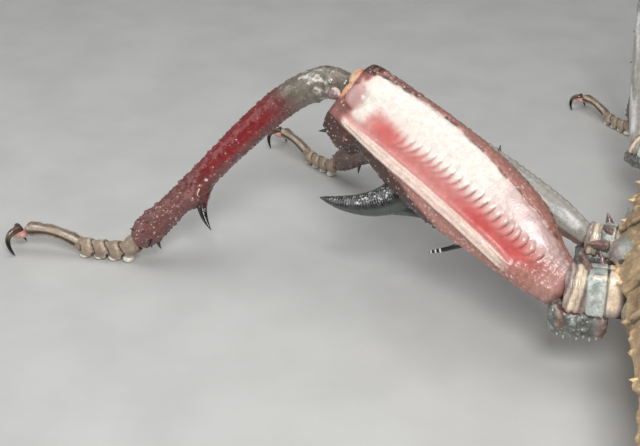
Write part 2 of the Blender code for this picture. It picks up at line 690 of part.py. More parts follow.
def build_tarsus(kind, side, plan, joints):
    """Foot of four short padded joints and one long one; the pads lie flat on the floor."""
    ahead = foot_heading(joints)
    across = Vector((ahead.y, -ahead.x, 0))
    curve = tibia_curve(plan, joints)
    begin = ((curve[3] - curve[2]).normalized() + ahead).normalized()
    size = plan["foot"]
    reach = (joints["toe"] - joints["ankle"]).length
    stations = [(0.0, FOOT_ENDS[0])]
    step = SHORT_JOINTS_SHARE / TARSOMERES
    for i in range(TARSOMERES):
        stations += [(step * (i + share), width) for share, width in SHORT_JOINT]
    stations += list(LONG_JOINT) + [(1 - TOE_LENGTH / reach, FOOT_ENDS[1]), (1.0, FOOT_ENDS[2])]
    rings = []
    for share, width in stations:
        centre = foot_centre(plan, joints, share)
        normal = ahead
        if share == 0.0:
            normal = begin
            centre = centre + begin * (GAP / 2)
        aside = square_to(across, normal)
        upright = aside.cross(normal)
        if upright.z < 0:
            upright = -upright
        half = width * size
        ring = ring_about(centre, aside, upright, half, half * FOOT_TALLNESS, SIDES["foot"])
        for point in ring:
            point.z = max(point.z, 0.0)
        rings.append(ring)
    store(skin(rings), f"{kind}_tarsus_{side}", "foot", mover(plan, side, joints))


def build_claws(kind, side, plan, joints):
    """A pair of hooks drawn as one rod from tip to tip through their common foot."""
    ahead = foot_heading(joints)
    across = Vector((ahead.y, -ahead.x, 0))
    up = Vector((0, 0, 1))
    toe = joints["toe"]
    size = plan["foot"]
    foot = toe + ahead * (GAP + CLAW_FOOT * size)
    rings = []
    course = [(-1, t) for t in CLAW_STATIONS] + [(1, t) for t in reversed(CLAW_STATIONS[:-1])]
    centres = []
    for hand, t in course:
        tip = foot + (ahead * CLAW_TIP[0] + across * (hand * CLAW_TIP[1])) * size
        tip.z = CLAW_TIP_HEIGHT
        bends = [foot + (ahead * x + across * (hand * y) + up * z) * size for x, y, z in CLAW_BENDS]
        points = [foot] + bends + [tip]
        centres.append((bezier(points, t), blend_rows(CLAW_RADII, t) * size))
    for i, (centre, radius) in enumerate(centres):
        heading = centres[min(i + 1, len(centres) - 1)][0] - centres[max(i - 1, 0)][0]
        aside = heading.cross(ahead)
        if aside.length < SHORTEST_CROSS:
            aside = up.copy()
        aside.normalize()
        upright = heading.cross(aside).normalized()
        rings.append(ring_about(centre, aside, upright, radius, radius, SIDES["claws"]))
    store(skin(rings), f"{kind}_claws_{side}", "horn", mover(plan, side, joints))


def build_legs():
    """Six legs from one pattern."""
    for kind, plan in LEGS.items():
        joints = leg_frame(plan)
        for side in ("left", "right"):
            for build in (build_coxa, build_femur, build_tibia, build_tarsus, build_claws):
                build(kind, side, plan, joints)


def centre_on_floor():
    """Moves all meshes so that the middle of the whole model's footprint is the origin."""
    meshes = [item.data for item in bpy.context.scene.objects if item.type == "MESH"]
    shown = [item.data for item in bpy.context.scene.objects if not item.hide_render]
    xs = [vertex.co.x for mesh in shown for vertex in mesh.vertices]
    ys = [vertex.co.y for mesh in shown for vertex in mesh.vertices]
    shift = Vector((-(min(xs) + max(xs)) / 2, -(min(ys) + max(ys)) / 2, 0))
    for mesh in meshes:
        mesh.transform(Matrix.Translation(shift))


def main():
    """Builds the whole insect."""
    clear_scene()
    build_trunk()
    build_head()
    build_mouthparts()
    build_antennae()
    build_legs()
    centre_on_floor()


main()
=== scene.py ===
"""Looks of a male giant spiny stick insect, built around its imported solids.

Shapes are worked out in millimetres in the animal's own axes (head along +Y, right side at
+X, floor at 0) and stored in metres where the frame's solids lie. Each limb is drawn as a
left limb, then swung and mirrored, as the solids are.
"""
import math

import bpy
import numpy as np
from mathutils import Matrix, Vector


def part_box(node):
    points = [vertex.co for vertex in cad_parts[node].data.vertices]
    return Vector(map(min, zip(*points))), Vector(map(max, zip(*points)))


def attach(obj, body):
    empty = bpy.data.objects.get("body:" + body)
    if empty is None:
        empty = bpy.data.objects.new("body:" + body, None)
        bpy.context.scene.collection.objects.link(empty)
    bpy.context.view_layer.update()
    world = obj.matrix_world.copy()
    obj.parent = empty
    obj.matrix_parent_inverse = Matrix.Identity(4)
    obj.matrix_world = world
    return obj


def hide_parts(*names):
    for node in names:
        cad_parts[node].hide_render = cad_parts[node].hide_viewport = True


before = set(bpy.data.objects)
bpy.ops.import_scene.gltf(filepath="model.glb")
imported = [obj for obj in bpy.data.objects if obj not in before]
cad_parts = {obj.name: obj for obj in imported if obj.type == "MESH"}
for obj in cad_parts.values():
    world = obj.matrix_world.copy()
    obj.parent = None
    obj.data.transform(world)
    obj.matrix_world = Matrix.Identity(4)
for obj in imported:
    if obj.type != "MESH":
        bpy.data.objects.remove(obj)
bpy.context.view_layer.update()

MM = 0.001
SIDES = ("left", "right")

# Driving dimensions of the solids, in millimetres. Rows of the trunk: place along the body,
# half widths at the margin and at the flank, heights of the margin, the back and the belly.
TRUNK = (
    (21.6, 4.0, 3.5, 9.5, 12.4, 5.9), (19.0, 4.9, 4.3, 9.8, 13.2, 5.3),
    (16.5, 5.3, 4.6, 10.0, 13.5, 5.1), (13.2, 5.1, 4.6, 10.1, 13.4, 5.1),
    (7.5, 5.5, 4.9, 10.6, 14.1, 5.0), (1.0, 6.2, 5.6, 11.0, 14.6, 4.9),
    (-5.3, 7.0, 7.1, 11.1, 14.6, 4.8), (-9.8, 7.7, 6.7, 11.1, 14.6, 4.8),
    (-13.6, 7.2, 7.4, 11.2, 14.5, 4.8), (-17.2, 6.5, 6.1, 11.1, 14.3, 5.0),
    (-22.0, 5.95, 5.4, 10.8, 13.8, 5.4), (-29.5, 4.7, 4.3, 10.3, 13.1, 5.5),
    (-42.0, 4.15, 3.8, 9.2, 12.0, 5.0), (-54.0, 4.0, 3.7, 8.1, 10.9, 4.2),
    (-62.0, 4.3, 3.85, 7.3, 10.3, 3.6), (-68.5, 3.9, 3.3, 6.6, 9.3, 3.4),
    (-74.0, 2.9, 2.4, 5.9, 7.7, 4.2),
)
THORAX_ENDS = (21.6, 13.25, -7.65, -17.3, -21.65)
ABDOMEN_LENGTHS = (7.2, 7.0, 6.8, 6.5, 6.1, 5.4, 4.7, 4.4, 3.9)
GAP = 0.3
# Rows of the head: place along the body, half width, height of the middle, half height, lean.
HEAD = (
    (21.9, 2.5, 9.3, 2.5, 0.0), (22.5, 3.4, 9.4, 3.2, 0.0), (24.2, 4.1, 9.5, 3.7, 0.0),
    (26.6, 4.2, 9.5, 3.8, 0.05), (28.6, 3.8, 9.3, 3.6, 0.14), (30.2, 3.1, 8.9, 3.0, 0.26),
    (31.2, 2.4, 8.4, 2.3, 0.36),
)
EYE_CENTRE = (3.45, 28.0, 10.1)
EYE_RADII = (1.25, 1.45, 1.4)
ANTENNA_CURVE = ((1.8, 31.9, 11.2), (4.2, 39.0, 15.6), (10.5, 52.0, 15.0), (15.5, 67.8, 10.5))
# Joints with x to the outside. Rows of a limb: share of its length, then height, half width
# or radius; of its bow: share of the way and rise. Swings of a side are in degrees.
LEGS = {
    "fore": dict(
        root=(5.1, 17.0, 7.3), base=(7.0, 18.4, 7.7), knee=(8.2, 32.8, 18.8),
        ankle=(7.7, 36.2, 2.2), toe=(14.3, 42.3, 1.7), coxa_size=(1.6, 1.8),
        dorsal=((0, 1.0), (0.2, 1.5), (0.55, 1.55), (0.85, 1.35), (1, 1.2)),
        ventral=((0, 1.0), (0.2, 1.45), (0.55, 1.6), (0.85, 1.4), (1, 1.2)),
        half=((0, 0.9), (0.25, 1.2), (0.6, 1.25), (0.85, 1.1), (1, 1.0)),
        tibia=((0, 1.0), (0.12, 1.1), (0.5, 0.95), (0.85, 0.95), (0.95, 1.1), (1, 1.0)),
        bow=((0.15, 1.3), (0.55, 0.2)), foot=0.78, swing={"left": 0.0, "right": -28.0}),
    "mid": dict(
        root=(7.65, -5.3, 8.4), base=(10.4, -5.1, 8.7), knee=(24.8, 7.1, 11.3),
        ankle=(39.9, 15.7, 2.1), toe=(48.2, 21.4, 2.0), coxa_size=(1.9, 2.3),
        dorsal=((0, 1.05), (0.2, 1.6), (0.55, 1.65), (0.85, 1.4), (1, 1.2)),
        ventral=((0, 1.05), (0.2, 1.45), (0.55, 1.55), (0.85, 1.4), (1, 1.2)),
        half=((0, 1.0), (0.25, 1.25), (0.6, 1.25), (0.85, 1.15), (1, 1.05)),
        tibia=((0, 1.05), (0.12, 1.15), (0.5, 1.0), (0.85, 1.0), (0.95, 1.15), (1, 1.05)),
        bow=((0.15, 1.4), (0.55, 0.2)), foot=0.85, swing={"left": 0.0, "right": 6.0}),
    "hind": dict(
        root=(7.85, -13.6, 8.1), base=(11.5, -13.8, 8.8), knee=(34.4, -1.8, 19.6),
        ankle=(54.5, -7.5, 2.5), toe=(66.4, -8.5, 2.3), coxa_size=(2.5, 3.2),
        dorsal=((0, 1.6), (0.09, 2.45), (0.2, 3.9), (0.32, 4.45), (0.45, 4.6),
                (0.63, 4.4), (0.84, 3.85), (1, 3.3)),
        ventral=((0, 2.3), (0.1, 2.95), (0.22, 3.4), (0.37, 3.95), (0.53, 4.35),
                 (0.7, 4.1), (0.86, 3.2), (1, 2.5)),
        half=((0, 1.8), (0.15, 2.5), (0.4, 3.1), (0.65, 3.0), (0.86, 2.6), (1, 2.2)),
        tibia=((0, 1.55), (0.15, 1.55), (0.5, 1.4), (0.8, 1.25), (0.93, 1.5), (1, 1.35)),
        bow=((0.13, 4.8), (0.5, 1.2)), foot=1.05, swing={"left": 0.0, "right": -9.0}),
}
HIP_REACH = 2.0
SHORT_JOINTS_SHARE = 0.52
TARSOMERES = 4
STRIDE = SHORT_JOINTS_SHARE / TARSOMERES
LEG_PITCH = 0.14
HIND_LEG_PITCH = 0.11

# The camera, in the animal's axes and millimetres; its clip distances in metres.
CAMERA_TARGET = (-36.95, -1.52, 4.05)
CAMERA_AZIMUTH = 16.0
CAMERA_ELEVATION = 30.0
CAMERA_DISTANCE = 121.0
CAMERA_FIELD = 30.0
CAMERA_CLIP = (0.005, 5.0)

# Masks that are stored on every piece and read by its finish; phases are counted in PHASES.
MASKS = ("tone", "pale", "blush", "grain", "cream", "dark", "phase", "line")
PHASES = 40

RIGHT = np.array([1.0, 0.0, 0.0])
AHEAD = np.array([0.0, 1.0, 0.0])
UP = np.array([0.0, 0.0, 1.0])


# ---------------------------------------------------------------- numbers and noise

def smooth_rows(rows, at, column=1):
    """One column of a short table, read along a smooth curve at an array of places."""
    table = np.array(sorted(rows), float)
    xs = table[:, 0]
    ys = table[:, column]
    slopes = np.gradient(ys, xs)
    slopes[1:-1] = (ys[2:] - ys[:-2]) / (xs[2:] - xs[:-2])
    at = np.clip(np.asarray(at, float), xs[0], xs[-1])
    i = np.clip(np.searchsorted(xs, at, side="right") - 1, 0, len(xs) - 2)
    span = xs[i + 1] - xs[i]
    t = (at - xs[i]) / span
    value = ys[i] * (2 * t**3 - 3 * t**2 + 1) + ys[i + 1] * (3 * t**2 - 2 * t**3)
    return value + span * (slopes[i] * (t**3 - 2 * t**2 + t) + slopes[i + 1] * (t**3 - t**2))


def unit(v):
    """Vectors of length one."""
    v = np.asarray(v, float)
    return v / np.maximum(np.linalg.norm(v, axis=-1, keepdims=True), 1e-12)


def dot(a, b):
    """Products of vectors, keeping the last axis."""
    return np.sum(np.asarray(a) * np.asarray(b), axis=-1, keepdims=True)


def square_to(v, axis):
    """Directions made square to an axis."""
    return unit(v - axis * dot(v, axis))


def length_of(line):
    """Length of a line of points."""
    return np.linalg.norm(np.diff(line, axis=0), axis=1).sum()


def bell(x, middle, width):
    """A smooth bump of height one."""
    return np.exp(-((x - middle) / width) ** 2)


def step(x, low, high):
    """A smooth rise from 0 at low to 1 at high."""
    t = np.clip((x - low) / (high - low), 0, 1)
    return t * t * (3 - 2 * t)


def fall(x, low, high):
    """A smooth fall from 1 at low to 0 at high."""
    return 1 - step(x, low, high)


def dome(share, power=2, least=0.01):
    """Sizes towards a round end: nearly 0 at share 0 and 1 at share 1."""
    return np.sqrt(np.clip(1 - (1 - share) ** power, least, 1))


def scramble(cells, seed):
    """Repeatable numbers from 0 to 1 for whole-number cells."""
    c = cells.astype(np.int64).astype(np.uint64)
    h = c[..., 0] * np.uint64(73856093) ^ c[..., 1] * np.uint64(19349663)
    h ^= c[..., 2] * np.uint64(83492791) ^ np.uint64(seed * 2654435761 + 977)
    for shift, factor in ((15, 2246822519), (13, 3266489917), (16, 668265263)):
        h ^= h >> np.uint64(shift)
        h = (h * np.uint64(factor)) & np.uint64(0xFFFFFFFF)
    return (h ^ (h >> np.uint64(11))) / 4294967296.0 % 1.0


def numbered(number, seed):
    """A repeatable number from 0 to 1 for each whole number."""
    return scramble(np.stack([number, number * 0, number * 0], -1), seed)


def lumps(points, size, seed=1):
    """Soft random relief from -1 to 1 with lumps of a given size in millimetres."""
    p = points / size
    base = np.floor(p)
    f = p - base
    f = f * f * (3 - 2 * f)
    total = 0.0
    for corner in range(8):
        offset = np.array([corner & 1, corner >> 1 & 1, corner >> 2 & 1], float)
        weight = np.prod(np.where(offset == 1, f, 1 - f), axis=-1)
        total = total + weight * scramble(base + offset, seed)
    return 2 * total - 1


def rough(points, size, octaves=4, seed=1):
    """Layered relief: each layer half the size and a bit over half the height."""
    total = 0.0
    height = 1.0
    full = 0.0
    for k in range(octaves):
        total = total + height * lumps(points, size / 2**k, seed + 7 * k)
        full += height
        height *= 0.55
    return total / full


def pebbles(points, size, seed=1):
    """Distance to the nearest of scattered points, in cell sizes, and that point's own number."""
    p = points / size
    base = np.floor(p)
    best = np.full(p.shape[:-1], 9.0)
    number = np.zeros(p.shape[:-1])
    for k in range(27):
        offset = np.array([k % 3 - 1, k // 3 % 3 - 1, k // 9 - 1], float)
        cell = base + offset
        jitter = np.stack([scramble(cell, seed + s) for s in (0, 31, 57)], -1)
        far = np.linalg.norm(cell + jitter - p, axis=-1)
        nearer = far < best
        best = np.where(nearer, far, best)
        number = np.where(nearer, jitter[..., 0], number)
    return best, number


def granules(points, size, seed=1, cover=0.55):
    """Rounded grains from 0 to 1, of uneven height, on a plain ground."""
    far, number = pebbles(points, size, seed)
    radius = cover * (0.55 + 0.45 * number)
    return np.sqrt(np.clip(1 - (far / radius) ** 2, 0, 1)) * (0.45 + 0.55 * number)


def beading(run, points, size, seed):
    """Beads from 0 to 1, one to each full turn of a run, made uneven by lumps of a size."""
    return 0.5 - 0.5 * np.cos(run + 3 * lumps(points, size, seed))


def keels_at(angle, places, width):
    """Ridges of height one at some angles round a limb."""
    return sum(bell(np.angle(np.exp(1j * (angle - a))), 0, width) for a in places)


# ---------------------------------------------------------------- patches of surface

class Patch:
    """A tube of surface: a grid of points along and around, with masks for its colours.

    Along runs from 0 to 1; around counts the outline's control points and angle is the same
    in radians.
    """

    def __init__(self, points, centre, along, around, angle):
        self.points = points
        self.centre = centre
        self.along = along
        self.around = around
        self.angle = angle
        self.masks = {name: np.zeros(points.shape[:2]) for name in MASKS}

    def normals(self):
        """Outward directions."""
        across = np.roll(self.points, -1, axis=1) - np.roll(self.points, 1, axis=1)
        normal = unit(np.cross(np.gradient(self.points, axis=0), across))
        outward = np.sum(normal * (self.points - self.centre[:, None]))
        return normal if outward > 0 else -normal

    def raise_by(self, height):
        """Moves the surface out along its normals."""
        self.points = self.points + self.normals() * height[..., None]
        return self

    def narrow(self, size):
        """Draws the surface in towards its middle line."""
        middle = self.centre[:, None]
        self.points = middle + (self.points - middle) * size
        return self

    def tint(self, **masks):
        """Adds to the masks."""
        for name, value in masks.items():
            self.masks[name] = np.clip(self.masks[name] + value, 0, 1)
        return self

    def moved(self, move):
        """The same patch with its points put through a function."""
        other = Patch(move(self.points), move(self.centre), self.along, self.around, self.angle)
        other.masks = self.masks
        return other


def closed_curve(controls, places):
    """Smooth closed curves through rows of control points, read at places round them."""
    count = controls.shape[1]
    i = np.floor(places).astype(int)
    f = (places - i)[None, :, None]
    a, b, c, d = (controls[:, (i + k) % count] for k in (-1, 0, 1, 2))
    return 0.5 * (2 * b + (c - a) * f + (2 * a - 5 * b + 4 * c - d) * f**2
                  + (3 * b - a - 3 * c + d) * f**3)


def gaps_round(ring):
    """Distances from each point of a closed curve to the next."""
    return np.linalg.norm(np.roll(ring, -1, axis=0) - ring, axis=1)


def even_places(controls, count):
    """Places round a closed curve that lie evenly along its length."""
    dense = np.linspace(0, controls.shape[1], 1200, endpoint=False)
    gaps = gaps_round(closed_curve(controls, dense)[0])
    run = np.concatenate([[0], np.cumsum(gaps)])
    wanted = np.linspace(0, run[-1], count, endpoint=False)
    return np.interp(wanted, run, np.append(dense, controls.shape[1]))


def sweep(centre, across, up, controls, pitch):
    """A patch from outlines carried along a line; pitch is the wanted width of a face."""
    across = np.broadcast_to(across, centre.shape)
    up = np.broadcast_to(up, centre.shape)
    widest = controls[np.argmax(np.ptp(controls[..., 1], axis=1))][None]
    ring = closed_curve(widest, np.linspace(0, controls.shape[1], 400, endpoint=False))[0]
    places = even_places(widest, max(12, int(round(gaps_round(ring).sum() / pitch))))
    outline = closed_curve(controls, places)
    points = centre[:, None] + across[:, None] * outline[..., :1] + up[:, None] * outline[..., 1:]
    along = np.linspace(0, 1, len(centre))[:, None] * np.ones(len(places))[None]
    around = np.ones(len(centre))[:, None] * places[None]
    return Patch(points, centre, along, around, around * (2 * math.pi / controls.shape[1]))


def oval_controls(half_width, half_height, count=12):
    """Control points of oval outlines, starting at the top and turning to the first axis."""
    turn = 2 * math.pi * np.arange(count) / count
    width = np.atleast_1d(half_width)[:, None]
    height = np.atleast_1d(half_height)[:, None]
    return np.stack([width * np.sin(turn), height * np.cos(turn)], -1)


def bezier(points, t):
    """Places on the cubic through four control points."""
    a, b, c, d = (np.asarray(p, float) for p in points)
    t = np.asarray(t, float)[:, None]
    s = 1 - t
    return a * s**3 + 3 * b * s * s * t + 3 * c * s * t * t + d * t**3


def frames(centre, side):
    """Directions across and up for each place on a line, with side as the first guess."""
    ahead = unit(np.gradient(centre, axis=0))
    across = square_to(np.broadcast_to(side, centre.shape), ahead)
    return across, unit(np.cross(across, ahead))


def rod(course, radii, side=RIGHT, pitch=0.12, flat=1.0, rows=None):
    """A tube along a curve with radii read from a short table."""
    course = np.asarray(course, float)
    t = np.linspace(0, 1, rows or max(6, int(round(length_of(course) / pitch))))
    centre = bezier(course, t)
    across, up = frames(centre, side)
    radius = smooth_rows(radii, t)
    return sweep(centre, across, up, oval_controls(radius * flat, radius), pitch)


POLE = 0.02


def blob(centre, axes, radii, pitch=0.15):
    """A closed oval body along its first axis."""
    turn = np.linspace(POLE, math.pi - POLE, max(8, int(math.pi * radii[0] / pitch)))
    line = np.asarray(centre) + np.asarray(axes[0]) * (-radii[0] * np.cos(turn))[:, None]
    size = np.sin(turn)
    return sweep(line, axes[1], axes[2], oval_controls(radii[1] * size, radii[2] * size), pitch)


THORN_RADII = ((0, 1.15), (0.2, 0.85), (0.6, 0.45), (1, 0.04))


def thorn(root, tip, radius, bend=(0, 0, 0), pitch=0.14, dark=0.0, pale=0.0):
    """A pointed spine on a flared foot."""
    root = np.asarray(root, float)
    tip = np.asarray(tip, float)
    reach = tip - root
    course = (root - reach * 0.12, root + reach * 0.3, root + reach * 0.7 + np.asarray(bend), tip)
    side = np.cross(unit(reach), (0.3, 0.2, 0.9))
    radii = [(share, size * radius) for share, size in THORN_RADII]
    rows = max(7, int(np.linalg.norm(reach) / pitch))
    spine = rod(course, radii, side, min(pitch, radius), rows=rows)
    return spine.tint(dark=dark * (0.5 + 0.5 * spine.along), pale=pale * spine.along)


# ---------------------------------------------------------------- legs

class Leg:
    """Joints, directions and curves of one kind of leg, drawn as a left leg."""

    def __init__(self, kind):
        self.kind = kind
        self.plan = LEGS[kind]
        self.size = self.plan["foot"]
        joints = [np.array((-1.0, 1.0, 1.0)) * self.plan[name]
                  for name in ("root", "base", "knee", "ankle", "toe")]
        self.root, self.base, self.knee, self.ankle, self.toe = joints
        thigh = self.knee - self.base
        self.length = np.linalg.norm(thigh)
        self.ahead = thigh / self.length
        normal = unit(np.cross(thigh, self.ankle - self.knee))
        self.rear = normal if normal[1] < 0 else -normal
        up = unit(np.cross(self.ahead, self.rear))
        self.up = up if up[2] > 0 else -up
        chord = self.ankle - self.knee
        out = unit(np.cross(chord, self.rear))
        out = -out if np.dot(out, self.base - self.knee) > 0 else out
        bends = [self.knee + chord * share + out * rise for share, rise in self.plan["bow"]]
        self.shin = (self.knee, *bends, self.ankle)
        foot = (self.toe - self.ankle) * (1, 1, 0)
        self.foot = unit(foot)
        self.foot_reach = np.linalg.norm(foot)
        self.foot_side = np.array([self.foot[1], -self.foot[0], 0.0])

    def at(self, along, rise=0.0, back=0.0):
        """A place by distance from the thigh's base, height and distance to the rear."""
        return self.base + self.ahead * along + self.up * rise + self.rear * back

    def past_knee(self, along, rise=0.0, back=0.0):
        """A place by distance past the knee, height and distance to the rear."""
        return self.at(self.length + along, rise, back)

    def course(self, places, back):
        """Places at one distance to the rear, by distance from the thigh's base and height."""
        return [self.at(along, rise, back) for along, rise in places]

    def sizes(self, share):
        """Heights above and below and half width of the thigh at shares of its length."""
        return [smooth_rows(self.plan[k], share) for k in ("dorsal", "ventral", "half")]

    def shin_line(self, share):
        """Places on the shin's curve and headings there, also a little past its ends."""
        share = np.atleast_1d(np.asarray(share, float))
        ahead = unit(bezier(self.shin, share + 0.005) - bezier(self.shin, share - 0.005))
        return bezier(self.shin, share), ahead

    def spot(self, part, share):
        """Middle, heading and radius of the femur or the tibia at a share of its length."""
        if part == "femur":
            middle = self.base + (self.knee - self.base) * share
            return middle, self.ahead, smooth_rows(self.plan["ventral"], [share])[0]
        middle, ahead = (rows[0] for rows in self.shin_line(share))
        return middle, ahead, smooth_rows(self.plan["tibia"], [share])[0]

    def mover(self, side):
        """Swings this left leg about its coxa and mirrors it for the right side."""
        hand = -1 if side == "right" else 1
        swing = math.radians(self.plan["swing"][side])

        def move(points):
            share = np.clip((self.root[0] - points[..., 0]) / HIP_REACH, 0, 1)
            turn = -swing * share
            x = points[..., 0] - self.root[0]
            y = points[..., 1] - self.root[1]
            swung_x = self.root[0] + x * np.cos(turn) - y * np.sin(turn)
            swung_y = self.root[1] + x * np.sin(turn) + y * np.cos(turn)
            return np.stack([hand * swung_x, swung_y, points[..., 2]], -1)
        return move


# Outlines of thighs, starting above and turning to the rear: shares of half width and height.
# The great one is keeled above and flat behind, with two ridges below.
BIG_OUTLINE = ((0.0, 1.0), (0.62, 0.88), (0.92, 0.35), (1.0, -0.2), (1.02, -0.55), (0.6, -0.9),
               (0.0, -0.97), (-0.6, -0.97), (-0.95, -0.55), (-1.0, -0.05), (-0.92, 0.42),
               (-0.6, 0.88))
SLIM_OUTLINE = ((0.0, 1.0), (0.75, 0.68), (1.0, 0.0), (0.78, -0.7), (0.0, -1.0), (-0.78, -0.7),
                (-1.0, 0.0), (-0.75, 0.68))


def thigh_controls(outline, dorsal, ventral, half):
    """Control points of a thigh from its heights above and below and its half width."""
    return np.stack([np.stack([x * half, z * (ventral if z < 0 else dorsal)], -1)
                     for x, z in outline], 1)


def heights_in(patch, leg):
    """Distance along the thigh, height and distance to the rear for each point of a patch."""
    arm = patch.points - leg.base
    return arm @ leg.ahead, arm @ leg.up, arm @ leg.rear


def thigh_line(leg, first, last, pitch):
    """Shares of the thigh's length, from one to another, and the places there on its axis."""
    share = np.linspace(first, last, int(leg.length * (last - first) / pitch))
    return share, leg.base + np.outer(share, leg.knee - leg.base)


THIGH_PITCH = 0.115
THIGH_START = -0.02
THIGH_END = 0.985
# Lines on the rear face of the great thigh: distance from its base and height.
RIDGE_LINE = ((2.5, -2.2), (4.85, -1.95), (10.0, -1.80), (15.0, -1.85), (20.0, -2.05),
              (24.0, -2.15), (26.0, -2.0))
RIM_LINE = ((1.0, 1.6), (3.0, 2.55), (6.0, 3.25), (8.5, 3.65), (14.0, 4.1), (20.0, 3.95),
            (24.0, 3.25), (26.5, 2.5))
SHADE_LINE = ((5.0, -5.0), (8.0, -4.3), (12.0, -3.4), (16.0, -2.85), (20.0, -2.5),
              (26.0, -2.4))
RIPPLE_LINE = ((1.8, 0.3), (4.8, 0.3), (7.8, 0.55), (10.0, 0.65), (15.3, 0.6), (19.4, 0.0))
RIPPLE_PITCH = 0.8
RIPPLE_START = 2.0
BOSS = (25.3, 0.3)


def ripples(points, u, v, face):
    """Curved wrinkles of the pale face: height above their line, phase, strength, tongues."""
    drop = v - smooth_rows(RIPPLE_LINE, u)
    hook = 0.5 * np.clip(drop - 0.25, 0, 2) ** 2 + 0.7 * np.clip(-0.05 - drop, 0, 2) ** 2
    phase = (u + 0.20 * drop - hook + 0.14 * lumps(points, 1.3, 5) - RIPPLE_START) / RIPPLE_PITCH
    vary = numbered(np.floor(phase + 0.5), 3)
    along = step(phase, 0.0, 1.0) * fall(u, 17.8, 20.4) * face
    strong = 0.35 + 0.65 * fall(u, 9.0, 17.0)
    reach = step(drop, -0.8 + 0.3 * vary, -0.25)
    reach = reach * fall(drop, 0.3 + 0.3 * vary, 0.85 + 0.4 * vary)
    tongue = np.sin(math.pi * (phase % 1.0) ** 0.85) ** 1.3 * along
    return drop, phase, reach * along * strong, tongue


def great_form(leg):
    """The great thigh's plain form, how far inside its ends a ring is, and its rear face."""
    share, centre = thigh_line(leg, THIGH_START, THIGH_END, THIGH_PITCH)
    outline = thigh_controls(BIG_OUTLINE, *leg.sizes(share))
    body = sweep(centre, leg.rear, leg.up, outline, THIGH_PITCH)
    u, v, w = heights_in(body, leg)
    face = step(w, 0.2, 0.9) * step(body.around, 0.1, 0.5) * step(5.3 - body.around, 0.0, 0.3)

    # The thigh's far end leans: its lower lobe reaches further than its back.
    lean = -1.05 + 0.36 * np.clip(-v, 0, 3.2) + 0.17 * np.clip(v, 0, 3)
    ramp = step(u, 21.5, 27.6)
    droop = 1.15 * step(u, 22.6, 26.6) * step(-v, 0.4, 2.4)
    droop += 1.45 * step(u, 22.7, 24.1) * step(-v, 2.2, 3.3)
    body.points = body.points + leg.ahead * (lean * ramp)[..., None] - leg.up * droop[..., None]
    ends = np.minimum(np.clip((share - THIGH_START) * leg.length / 0.9, 0, 1),
                      np.clip((THIGH_END - share) * leg.length / 0.8, 0, 1))
    return body.narrow(dome(ends, 2.6, 0.02)[:, None, None]), ends, face


